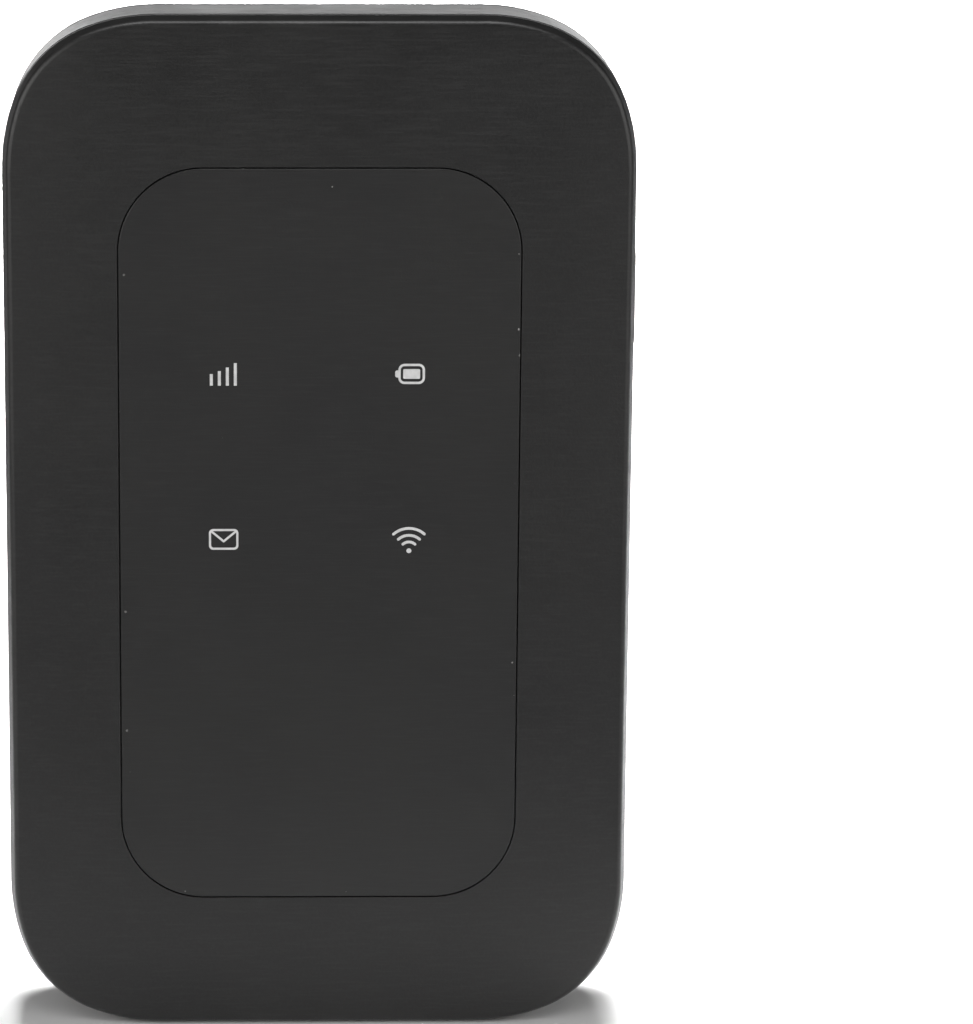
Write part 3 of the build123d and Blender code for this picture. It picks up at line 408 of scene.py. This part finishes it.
def paper_dot():
    """White uncoated paper: fibres, a faint grey rim of handling and a few specks."""
    s = Surface("sticker")
    fibre = s.noise(0.00009, detail=5.0, rough=0.75, stretch=(3, 1, 1))
    away = s.nearest([middle("moisture_dot")])
    rim = s.ramp(away, 0.0012, 0.0016)
    colour = s.mix(s.ramp(fibre, 0.35, 0.7), (0.76, 0.75, 0.72), (0.86, 0.855, 0.84))
    colour = s.mix(s.maths("MULTIPLY", rim, 0.35), colour, (0.50, 0.48, 0.45))
    colour = s.mix(s.dust(0.0006, 0.00004, 0.3), colour, (0.35, 0.32, 0.28))
    rough = s.ramp(fibre, 0.3, 0.7, 0.75, 0.92)
    return s.finish(Base_Color=colour, Roughness=rough, Normal=s.bump(fibre, 0.00001))


def battery_film():
    """Silver-grey polyester film: metallic pigment, a printed frame line, creases and rubs."""
    s = Surface("battery_label")
    low, high = [Vector(corner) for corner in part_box("battery_label")]
    half = ((high.x - low.x) / 2, (high.z - low.z) / 2)
    middle_z = (high.z + low.z) / 2
    edge = s.inside(half, LABEL_CORNER, middle_z)
    line = s.maths("MULTIPLY", s.ramp(edge, 0.00148, 0.00152), s.ramp(edge, 0.00172, 0.00168))
    _, _, z = s.axes()
    upper = s.ramp(z, high.z - 0.0102, high.z - 0.0101)
    band = s.maths("MULTIPLY", upper, s.ramp(edge, 0.00168, 0.00172))
    pigment = s.noise(0.00005, detail=2.0)
    cloud = s.noise(0.010, detail=4.0, rough=0.6)
    crease = s.noise(0.0008, detail=3.0, stretch=(1, 1, 14), shift=(0.1, 0, 0.3))
    rub = s.noise(0.0016, detail=5.0, rough=0.75, shift=(0, 0.2, 0.1))
    colour = s.mix(s.ramp(cloud, 0.3, 0.7), (0.29, 0.295, 0.30), (0.34, 0.34, 0.345))
    colour = s.mix(s.ramp(pigment, 0.35, 0.7, 0.0, 0.5), colour, (0.44, 0.44, 0.44))
    colour = s.mix(s.maths("MULTIPLY", band, 0.85), colour, (0.085, 0.088, 0.095))
    colour = s.mix(line, colour, (0.050, 0.052, 0.056))
    scuffed = s.ramp(rub, 0.62, 0.74, 0.0, 0.6)
    colour = s.mix(scuffed, colour, (0.42, 0.42, 0.415))
    rough = s.ramp(rub, 0.3, 0.7, 0.30, 0.46)
    metallic = s.maths("MULTIPLY", s.maths("SUBTRACT", 1.0, s.maths("MAXIMUM", band, line)), 0.4)
    normal = s.bump(pigment, 0.000003)
    normal = s.bump(s.ramp(crease, 0.62, 0.8), 0.000012, normal)
    return s.finish(Base_Color=colour, Metallic=metallic, Roughness=rough, Normal=normal)


def black_steel():
    """Black-oxide screws: turned rings on the head, bright wear round the cross."""
    s = Surface("screw_steel")
    away = s.nearest(SCREW_PLACES)
    rings = s.maths("SINE", s.maths("MULTIPLY", away, 2 * math.pi / 0.00009))
    chatter = s.noise(0.0003, detail=4.0, rough=0.7)
    worn = s.maths("MULTIPLY", s.ramp(away, 0.0011, 0.0004), s.ramp(chatter, 0.42, 0.58))
    colour = s.mix(s.ramp(chatter, 0.3, 0.7), (0.10, 0.10, 0.105), (0.17, 0.17, 0.175))
    colour = s.mix(worn, colour, (0.55, 0.54, 0.52))
    rough = s.ramp(chatter, 0.3, 0.7, 0.28, 0.42)
    normal = s.bump(s.ramp(rings, -1.0, 1.0), 0.000003)
    normal = s.bump(chatter, 0.000006, normal)
    return s.finish(Base_Color=colour, Metallic=1.0, Roughness=rough, Normal=normal)


def heat_pad():
    """Soft blue-grey silicone filled with ceramic: a putty look with pale grit."""
    s = Surface("heat_pad")
    grit = s.noise(0.00012, detail=4.0, rough=0.75)
    cloud = s.noise(0.002, detail=3.0)
    colour = s.mix(s.ramp(cloud, 0.3, 0.7), (0.17, 0.30, 0.42), (0.22, 0.36, 0.48))
    colour = s.mix(s.ramp(grit, 0.52, 0.7, 0.0, 0.6), colour, (0.45, 0.54, 0.60))
    rough = s.ramp(grit, 0.3, 0.7, 0.55, 0.8)
    return s.finish(
        Base_Color=colour, Roughness=rough, Normal=s.bump(grit, 0.00003), Subsurface_Weight=0.05
    )


MATERIALS = {
    "shell": black_shell(),
    "panel": black_panel(),
    "icon": pale_icon(),
    "clear_plastic": clear_plastic(),
    "black_rubber": black_rubber(),
    "light": light_package(),
    "board": circuit_board(),
    "tape": tissue_tape(),
    "foam": open_foam(),
    "sticker": paper_dot(),
    "battery_case": moulded("battery_case", (0.014, 0.014, 0.015), (0.022, 0.022, 0.023), 0.40),
    "battery_label": battery_film(),
    "gold": metal(
        "gold", (0.84, 0.60, 0.24), (0.95, 0.72, 0.34), (0.62, 0.42, 0.18), 0.22, (1, 1, 12)
    ),
    "copper": metal(
        "copper", (0.80, 0.42, 0.26), (0.90, 0.52, 0.34), (0.42, 0.22, 0.15), 0.30, (14, 1, 1)
    ),
    "tinned_steel": metal(
        "tinned_steel",
        (0.62, 0.62, 0.61),
        (0.72, 0.72, 0.71),
        (0.48, 0.475, 0.46),
        0.30,
        (1, 1, 18),
    ),
    "screw_steel": black_steel(),
    "chip": moulded("chip", (0.016, 0.016, 0.017), (0.024, 0.024, 0.025), 0.50, 0.00007, 0.00001),
    "component": moulded(
        "component", (0.24, 0.16, 0.09), (0.33, 0.23, 0.14), 0.42, 0.00006, 0.000006
    ),
    "heat_pad": heat_pad(),
    "dark_plastic": moulded("dark_plastic", (0.014, 0.014, 0.015), (0.024, 0.024, 0.025), 0.48),
    "pale_plastic": moulded(
        "pale_plastic", (0.56, 0.54, 0.47), (0.66, 0.64, 0.57), 0.46, fleck=(0.30, 0.28, 0.24)
    ),
}
for part in frame["record"]["subparts"]:
    shown = nodes[part["node"]]
    if not shown.material_slots:
        shown.data.materials.append(None)
    for holder in shown.material_slots:
        holder.link = "OBJECT"
        holder.material = MATERIALS[part["material_slot"]]

# Pieces that Blender adds, each riding on the CAD body that it belongs to


def show(name, shape, slot, body="case"):
    """Turns a bmesh into a named piece with its slot's material, riding on a body."""
    bmesh.ops.recalc_face_normals(shape, faces=shape.faces)
    mesh = bpy.data.meshes.new(name)
    shape.to_mesh(mesh)
    shape.free()
    mesh.shade_smooth()
    mesh.materials.append(MATERIALS[slot])
    thing = bpy.data.objects.new(name, mesh)
    bpy.context.scene.collection.objects.link(thing)
    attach(thing, body)
    return thing


def islands(node):
    """The boxes of a node's separate solids, as pairs of lowest and highest corners."""
    shape = bmesh.new()
    shape.from_mesh(nodes[node].data)
    bmesh.ops.remove_doubles(shape, verts=shape.verts, dist=0.000001)
    left = set(shape.verts)
    boxes = []
    while left:
        front = [left.pop()]
        low, high = front[0].co.copy(), front[0].co.copy()
        while front:
            corner = front.pop()
            for axis in range(3):
                low[axis] = min(low[axis], corner.co[axis])
                high[axis] = max(high[axis], corner.co[axis])
            for edge in corner.link_edges:
                other = edge.other_vert(corner)
                if other in left:
                    left.remove(other)
                    front.append(other)
        boxes.append((low, high))
    shape.free()
    return sorted(boxes, key=lambda pair: tuple(round(value, 6) for value in pair[0]))


def add_rounded_box(shape, low, high, edge, steps=2):
    """A box with rounded edges between two corners."""
    made = bmesh.ops.create_cube(shape, size=1.0)["verts"]
    size = Vector(high) - Vector(low)
    for vert in made:
        vert.co = Vector(low) + Vector([size[i] * (vert.co[i] + 0.5) for i in range(3)])
    edges = list({line for vert in made for line in vert.link_edges})
    bmesh.ops.bevel(shape, geom=edges, offset=edge, segments=steps, profile=0.5, affect="EDGES")


def add_turned(shape, x, z, profile, steps=32):
    """A solid turned about the depth axis at x, z, from (radius, y) pairs that end on the axis."""
    rings = []
    for radius, y in profile:
        if radius == 0:
            rings.append([shape.verts.new((x, y, z))])
            continue
        ring = []
        for number in range(steps):
            turn = 2 * math.pi * number / steps
            spot = (x + radius * math.cos(turn), y, z + radius * math.sin(turn))
            ring.append(shape.verts.new(spot))
        rings.append(ring)
    for one, two in zip(rings, rings[1:]):
        for number in range(steps):
            after = (number + 1) % steps
            if len(one) == 1:
                shape.faces.new((one[0], two[number], two[after]))
            elif len(two) == 1:
                shape.faces.new((one[number], one[after], two[0]))
            else:
                shape.faces.new((one[number], one[after], two[after], two[number]))


def add_ring(shape, x, z, radius, width, base_y, height):
    """A low rounded ring that stands on a face at base_y; height is signed, towards +Y."""
    steps, sides = 40, 6
    rows = []
    for number in range(steps):
        turn = 2 * math.pi * number / steps
        row = []
        for side in range(sides + 1):
            lean = math.pi * side / sides
            away = radius + width / 2 * math.cos(lean)
            y = base_y + height * math.sin(lean)
            row.append(shape.verts.new((x + away * math.cos(turn), y, z + away * math.sin(turn))))
        rows.append(row)
    for number in range(steps):
        one, two = rows[number], rows[(number + 1) % steps]
        for side in range(sides):
            shape.faces.new((one[side], one[side + 1], two[side + 1], two[side]))
        shape.faces.new((one[sides], one[0], two[0], two[sides]))


def add_line(shape, start, end, width, base_y, height):
    """A low rounded rib from one (x, z) to another, standing on a face at base_y."""
    start, end = Vector(start), Vector(end)
    along = (end - start).normalized() * width / 2
    side = Vector((-along.y, along.x))
    sections = 5
    tip_reach, tip_lift, tip_breadth = 0.8, 0.35, 0.55
    rows = []
    for point, reach in ((start, -1), (start, 0), (end, 0), (end, 1)):
        row = []
        lift, breadth = (tip_lift, tip_breadth) if reach else (1.0, 1.0)
        for number in range(sections + 1):
            lean = math.pi * number / sections
            spot = point + along * reach * tip_reach + side * math.cos(lean) * breadth
            row.append(shape.verts.new((spot.x, base_y + height * lift * math.sin(lean), spot.y)))
        rows.append(row)
    for one, two in zip(rows, rows[1:]):
        for number in range(sections):
            shape.faces.new((one[number], one[number + 1], two[number + 1], two[number]))
        shape.faces.new((one[sections], one[0], two[0], two[sections]))
    for row in (rows[0], rows[-1]):
        shape.faces.new(row)


def add_path(shape, points, width, base_y, height, closed=False):
    """Low rounded ribs from point to point."""
    ends = points[1:] + points[:1] if closed else points[1:]
    for start, end in zip(points, ends):
        add_line(shape, start, end, width, base_y, height)


def add_soft_slab(shape, low, high, pitch, corner, edge, relief):
    """A closed soft slab in a box: its edges roll over, and relief(x, z) sinks its two faces."""
    across = max(2, round((high[0] - low[0]) / pitch))
    up = max(2, round((high[2] - low[2]) / pitch))
    middle_y = (low[1] + high[1]) / 2
    half_y = (high[1] - low[1]) / 2
    centre = ((low[0] + high[0]) / 2, (low[2] + high[2]) / 2)
    half = ((high[0] - low[0]) / 2, (high[2] - low[2]) / 2)

    def rounded(u, v):
        """A place in the square -1..1 carried into the slab's outline, and its way from the rim."""
        x, z = u * half[0], v * half[1]
        over_x = max(0, abs(x) - half[0] + corner)
        over_z = max(0, abs(z) - half[1] + corner)
        longest = max(over_x, over_z)
        if over_x and over_z:
            shrink = longest / math.hypot(over_x, over_z)
            x = math.copysign(half[0] - corner + over_x * shrink, x)
            z = math.copysign(half[1] - corner + over_z * shrink, z)
        inner = min(half[0] - abs(u) * half[0], half[1] - abs(v) * half[1])
        return centre[0] + x, centre[1] + z, inner

    sheets = {}
    for face in (-1, 1):
        for i in range(across + 1):
            for j in range(up + 1):
                rim = i in (0, across) or j in (0, up)
                if rim and face == 1:
                    sheets[face, i, j] = sheets[-1, i, j]
                    continue
                x, z, inner = rounded(2 * i / across - 1, 2 * j / up - 1)
                roll = min(1.0, inner / edge)
                swell = math.sqrt(max(0.0, 1 - (1 - roll) ** 2))
                y = middle_y if rim else middle_y + face * half_y * swell * (1 - relief(x, z, face))
                sheets[face, i, j] = shape.verts.new((x, y, z))
    for face in (-1, 1):
        for i in range(across):
            for j in range(up):
                corners = [sheets[face, i + a, j + b] for a, b in ((0, 0), (1, 0), (1, 1), (0, 1))]
                shape.faces.new(corners)


# Foam pad in the rear cover: open cells and a faint waviness over its faces
foam_low, foam_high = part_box("foam_pad")


def foam_relief(x, z, face):
    """How far the foam's face sinks, as a share of its half thickness."""
    where = Vector((x, face * 0.01, z))
    pores = max(0.0, noise.noise(where * 1800) - 0.10)
    waves = 0.5 + 0.5 * noise.noise(where * 190)
    return min(0.5, 0.06 + 0.75 * pores + 0.14 * waves)


shape = bmesh.new()
add_soft_slab(shape, foam_low, foam_high, 0.00022, 0.0012, 0.0004, foam_relief)
foam = show("foam_pad_soft", shape, "foam", "rear_cover")
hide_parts("foam_pad")

# Heat pad on the largest shield: putty that has crept a little at its edges
heat_low, heat_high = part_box("thermal_pad")


def heat_relief(x, z, face):
    """A shallow unevenness of the putty's faces."""
    return 0.05 + 0.05 * noise.noise(Vector((x, face * 0.01, z)) * 700)


shape = bmesh.new()
add_soft_slab(shape, heat_low, heat_high, 0.0003, 0.0006, 0.0002, heat_relief)
heat = show("thermal_pad_soft", shape, "heat_pad")
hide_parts("thermal_pad")

# Tinned ends on the small chip parts, and a wound core on the two coils
ends, coils, wires = bmesh.new(), bmesh.new(), bmesh.new()
TIN = 0.00002
END_LENGTH = 0.00035
WIDEST_CHIP_PART = 0.001
TURN_RADII = (0.00050, 0.00066, 0.00082, 0.00098, 0.00114)
for low, high in islands("small_components"):
    if high.x - low.x < WIDEST_CHIP_PART:
        bottom = (low.z - TIN, low.z + END_LENGTH)
        top = (high.z - END_LENGTH, high.z + TIN)
        for side_low, side_high in (bottom, top):
            one = (low.x - TIN, low.y, side_low)
            two = (high.x + TIN, high.y + TIN, side_high)
            add_rounded_box(ends, one, two, 0.00004)
    else:
        x, z, top = (low.x + high.x) / 2, (low.z + high.z) / 2, high.y
        for radius in TURN_RADII:
            add_ring(wires, x, z, radius, 0.00015, top, 0.00006)
        add_turned(coils, x, z, ((0.00038, top), (0.00036, top + 0.00008), (0.0, top + 0.0001)), 24)
show("component_ends", ends, "tinned_steel")
show("coil_windings", wires, "copper")
show("coil_cores", coils, "chip")

# Plated feet round the flat chips, from a little under the body to a little past it
feet = bmesh.new()
FOOT_PITCH = 0.0005
FOOT_HALF_WIDTH = 0.00012
FOOT_HEIGHT = 0.0001
FOOT_UNDER = 0.00005
FOOT_PAST = 0.00018
for node in ("power_manager_chip", "charger_chip", "transceiver_chip"):
    low, high = [Vector(corner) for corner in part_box(node)]
    for near, far, edges, upright in (
        (low.x, high.x, ((low.z, -1), (high.z, 1)), True),
        (low.z, high.z, ((low.x, -1), (high.x, 1)), False),
    ):
        count = int((far - near) / FOOT_PITCH) - 1
        first = (near + far) / 2 - (count - 1) * FOOT_PITCH / 2
        for number in range(count):
            along = first + number * FOOT_PITCH
            sides = (along - FOOT_HALF_WIDTH, along + FOOT_HALF_WIDTH)
            for edge, outward in edges:
                reach = sorted((edge - outward * FOOT_UNDER, edge + outward * FOOT_PAST))
                xs, zs = (sides, reach) if upright else (reach, sides)
                one = (xs[0], low.y, zs[0])
                two = (xs[1], low.y + FOOT_HEIGHT, zs[1])
                add_rounded_box(feet, one, two, 0.00003, 1)
show("chip_feet", feet, "tinned_steel")

# Solder on the socket's shell and under the antenna clips
solder = bmesh.new()
board_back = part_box("main_board")[1][1]
usb_low, usb_high = [Vector(corner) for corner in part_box("usb_shell")]
DOME = ((1.0, 0.0), (0.9, 0.25), (0.66, 0.55), (0.35, 0.75), (0.0, 0.82))
DOME_RADIUS = 0.00045
DOME_HEIGHT = 0.0004
solder_spots = [(x, z) for x in (usb_low.x, usb_high.x) for z in (0.0034, 0.0056)]
for low, high in islands("antenna_clips"):
    solder_spots += [(low.x, (low.z + high.z) / 2), (high.x, (low.z + high.z) / 2)]
for x, z in solder_spots:
    profile = [(r * DOME_RADIUS, board_back + h * DOME_HEIGHT) for r, h in DOME]
    add_turned(solder, x, z, profile, 20)
show("solder_joints", solder, "tinned_steel")

# Ejector marks, a card outline and the poles, moulded in the floor of the battery bay
marks = bmesh.new()
for x, z in (
    (-0.0235, 0.0300),
    (0.0235, 0.0450),
    (-0.0235, 0.0800),
    (0.0210, 0.0690),
    (0.0020, 0.0560),
):
    add_ring(marks, x, z, EJECTOR_RADIUS, EJECTOR_WIDTH, BAY_FLOOR_Y, 0.00004)
show("bay_ejector_marks", marks, "shell")

card = bmesh.new()
CARD_X, CARD_Z = 0.0100, 0.0500
CARD_LINE = (0.00030, BAY_FLOOR_Y, 0.00005)
outline = [(-0.003, -0.0045), (0.003, -0.0045), (0.003, 0.0045), (-0.0015, 0.0045), (-0.003, 0.003)]
pad = [(-0.0014, -0.0014), (0.0014, -0.0014), (0.0014, 0.0014), (-0.0014, 0.0014)]
arrow = [(-0.0010, 0.0072), (0.0, 0.0084), (0.0010, 0.0072)]
shaft = [(0.0, 0.0056), (0.0, 0.0082)]
for points, closed in ((outline, True), (pad, True), (arrow, False), (shaft, False)):
    placed = [(CARD_X + x, CARD_Z + z) for x, z in points]
    add_path(card, placed, *CARD_LINE, closed)
show("card_outline_mark", card, "shell")


def add_poles(shape, base_y, height, z):
    """A plus on the left and a minus on the right."""
    reach, width, pole_x = 0.0008, 0.00034, 0.0045
    add_line(shape, (-pole_x - reach, z), (-pole_x + reach, z), width, base_y, height)
    add_line(shape, (-pole_x, z - reach), (-pole_x, z + reach), width, base_y, height)
    add_line(shape, (pole_x - reach, z), (pole_x + reach, z), width, base_y, height)


bay_poles, pack_poles = bmesh.new(), bmesh.new()
add_poles(bay_poles, BAY_FLOOR_Y, 0.00006, 0.0266)
show("bay_pole_marks", bay_poles, "shell")
pack_low, pack_high = [Vector(corner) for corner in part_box("battery_pack")]
label_low = Vector(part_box("battery_label")[0])
add_poles(pack_poles, pack_high.y, 0.00005, (pack_low.z + 0.0006 + label_low.z) / 2)
show("battery_pole_marks", pack_poles, "pale_plastic", "battery")

# The battery's seam between its two half shells
seam = bmesh.new()
SEAM_HALF_Y, SEAM_HALF_Z = 0.00010, 0.00003
SEAM_GAP_X = 0.0065
SEAM_END = 0.0020
seam_y = pack_low.y + 0.0012
for z in (pack_low.z, pack_high.z):
    left = (pack_low.x + SEAM_END, -SEAM_GAP_X)
    right = (SEAM_GAP_X, pack_high.x - SEAM_END)
    for x_low, x_high in (left, right):
        one = (x_low, seam_y - SEAM_HALF_Y, z - SEAM_HALF_Z)
        two = (x_high, seam_y + SEAM_HALF_Y, z + SEAM_HALF_Z)
        add_rounded_box(seam, one, two, 0.00002)
show("battery_seam", seam, "dark_plastic", "battery")

# Ejector marks inside the rear cover
marks = bmesh.new()
for x in (-0.020, 0.020):
    for z in (0.0200, 0.0350, 0.0650, 0.0800):
        add_ring(marks, x, z, EJECTOR_RADIUS, EJECTOR_WIDTH, COVER_FLOOR_Y, -0.00005)
show("cover_ejector_marks", marks, "shell", "rear_cover")

# Printed outlines round the parts of the board
ink = bmesh.new()
INK_GAP = 0.00035
for node in (
    "baseband_shield",
    "radio_shield",
    "wifi_shield",
    "power_manager_chip",
    "charger_chip",
    "sim_shell",
    "reset_switch",
    "power_switch",
    "contact_block",
):
    low, high = [Vector(corner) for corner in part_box(node)]
    x_low, x_high = low.x - INK_GAP, high.x + INK_GAP
    z_low, z_high = low.z - INK_GAP, high.z + INK_GAP
    corners = [(x_low, z_low), (x_high, z_low), (x_high, z_high), (x_low, z_high)]
    add_path(ink, corners, 0.00012, board_back, 0.00002, True)
show("board_ink", ink, "pale_plastic")

# Floor
bpy.ops.mesh.primitive_plane_add(size=8.0, location=(0, 0, 0))
floor = bpy.context.active_object
floor.name = "floor"
paper = Surface("pale_floor")
tone = paper.mix(paper.noise(0.3, detail=2.0), (0.84, 0.84, 0.84), (0.86, 0.86, 0.86))
floor.data.materials.append(paper.finish(Base_Color=tone, Roughness=0.9, Specular_IOR_Level=0.0))

# Light: a bright band of sky low down behind the object, lamps that light only the floor, one
# overhead that leaves the floor out, and one on each side
SKY_BASE = 0.06
SKY_GLOW = 3.1
BACKDROP = 0.93
world = bpy.data.worlds.new("studio")
bpy.context.scene.world = world
world.use_nodes = True
sky = world.node_tree
sky.nodes.clear()


def sky_maths(operation, a, b):
    node = sky.nodes.new("ShaderNodeMath")
    node.operation = operation
    for socket, value in zip(node.inputs, (a, b)):
        if isinstance(value, bpy.types.NodeSocket):
            sky.links.new(value, socket)
        else:
            socket.default_value = value
    return node.outputs[0]


def sky_ramp(value, low, high, out_low, out_high):
    node = sky.nodes.new("ShaderNodeMapRange")
    node.interpolation_type = "SMOOTHSTEP"
    node.inputs["From Min"].default_value = low
    node.inputs["From Max"].default_value = high
    node.inputs["To Min"].default_value = out_low
    node.inputs["To Max"].default_value = out_high
    sky.links.new(value, node.inputs["Value"])
    return node.outputs["Result"]


heading = sky.nodes.new("ShaderNodeTexCoord").outputs["Generated"]
parts = sky.nodes.new("ShaderNodeSeparateXYZ")
sky.links.new(heading, parts.inputs[0])
_, ahead, upward = parts.outputs
low_band = sky_ramp(upward, 0.30, 0.08, 0.0, 1.0)
behind = sky_ramp(ahead, 0.80, 0.97, 0.0, SKY_GLOW)
glow = sky_maths("MULTIPLY", low_band, behind)
level = sky_maths("ADD", glow, SKY_BASE)
light_sky = sky.nodes.new("ShaderNodeBackground")
light_sky.inputs["Color"].default_value = (1, 1, 1, 1)
sky.links.new(level, light_sky.inputs["Strength"])
seen_sky = sky.nodes.new("ShaderNodeBackground")
seen_sky.inputs["Color"].default_value = (BACKDROP, BACKDROP, BACKDROP, 1)
choice = sky.nodes.new("ShaderNodeMixShader")
sky.links.new(sky.nodes.new("ShaderNodeLightPath").outputs["Is Camera Ray"], choice.inputs[0])
sky.links.new(light_sky.outputs[0], choice.inputs[1])
sky.links.new(seen_sky.outputs[0], choice.inputs[2])
sky_out = sky.nodes.new("ShaderNodeOutputWorld")
sky.links.new(choice.outputs[0], sky_out.inputs["Surface"])


def softbox(name, place, aim, size, power, tint=(1, 1, 1)):
    lamp = bpy.data.lights.new(name, "AREA")
    lamp.shape = "RECTANGLE"
    lamp.size, lamp.size_y = size
    lamp.energy = power
    lamp.color = tint
    holder = bpy.data.objects.new(name, lamp)
    bpy.context.scene.collection.objects.link(holder)
    holder.location = place
    holder.rotation_mode = "QUATERNION"
    holder.rotation_quaternion = (Vector(aim) - Vector(place)).to_track_quat("-Z", "Y")
    holder.visible_camera = False
    return holder


def light_link(lamp, objects, state):
    """The lamp lights only these objects, with INCLUDE, or everything but them, with EXCLUDE."""
    group = bpy.data.collections.new(lamp.name + "_link")
    lamp.light_linking.receiver_collection = group
    for thing in objects:
        group.objects.link(thing)
    for member in group.collection_objects:
        member.light_linking.link_state = state


def floor_light(name, x, y, height, size, power, spread=180):
    """A lamp that looks straight down and lights only the floor, spreading by some degrees."""
    lamp = softbox(name, (x, y, height), (x, y, 0.0), size, power)
    lamp.data.spread = math.radians(spread)
    light_link(lamp, [floor], "INCLUDE")


floor_light("floor_wash", 0.04, 0.465, 0.50, (0.22, 0.84), 4.2, 36)
floor_light("front_wash", 0.0, -0.95, 0.80, (1.0, 0.8), 4.4)
floor_light("foot_wash", 0.0, 0.005, 0.30, (0.40, 0.07), 0.03, 14)
floor_light("far_wash", 0.0, 2.45, 1.2, (4.5, 3.3), 60.0, 60)
overhead = softbox("overhead", (0.0, -0.20, 0.9), (0, 0, 0.05), (0.5, 0.4), 4.2)
light_link(overhead, [floor], "EXCLUDE")
SIDE_TINT = (1.0, 0.99, 0.98)
softbox("left_panel", (-0.62, -0.50, 0.22), (0, 0, 0.05), (0.7, 0.5), 3.3, SIDE_TINT)
softbox("right_panel", (0.62, -0.50, 0.22), (0, 0, 0.05), (0.7, 0.5), 2.9, SIDE_TINT)

# Camera
camera_data = bpy.data.cameras.new("camera")
camera = bpy.data.objects.new("camera", camera_data)
bpy.context.scene.collection.objects.link(camera)
camera.location = (-0.007332, -0.451177, 0.157705)
camera.rotation_euler = [math.radians(a) for a in (76.6458, -0.1430, -0.8962)]
camera_data.lens = 166.852
camera_data.shift_x = 0.16455
camera_data.sensor_width = 36.0
bpy.context.scene.camera = camera
bpy.context.scene.view_settings.view_transform = "Standard"
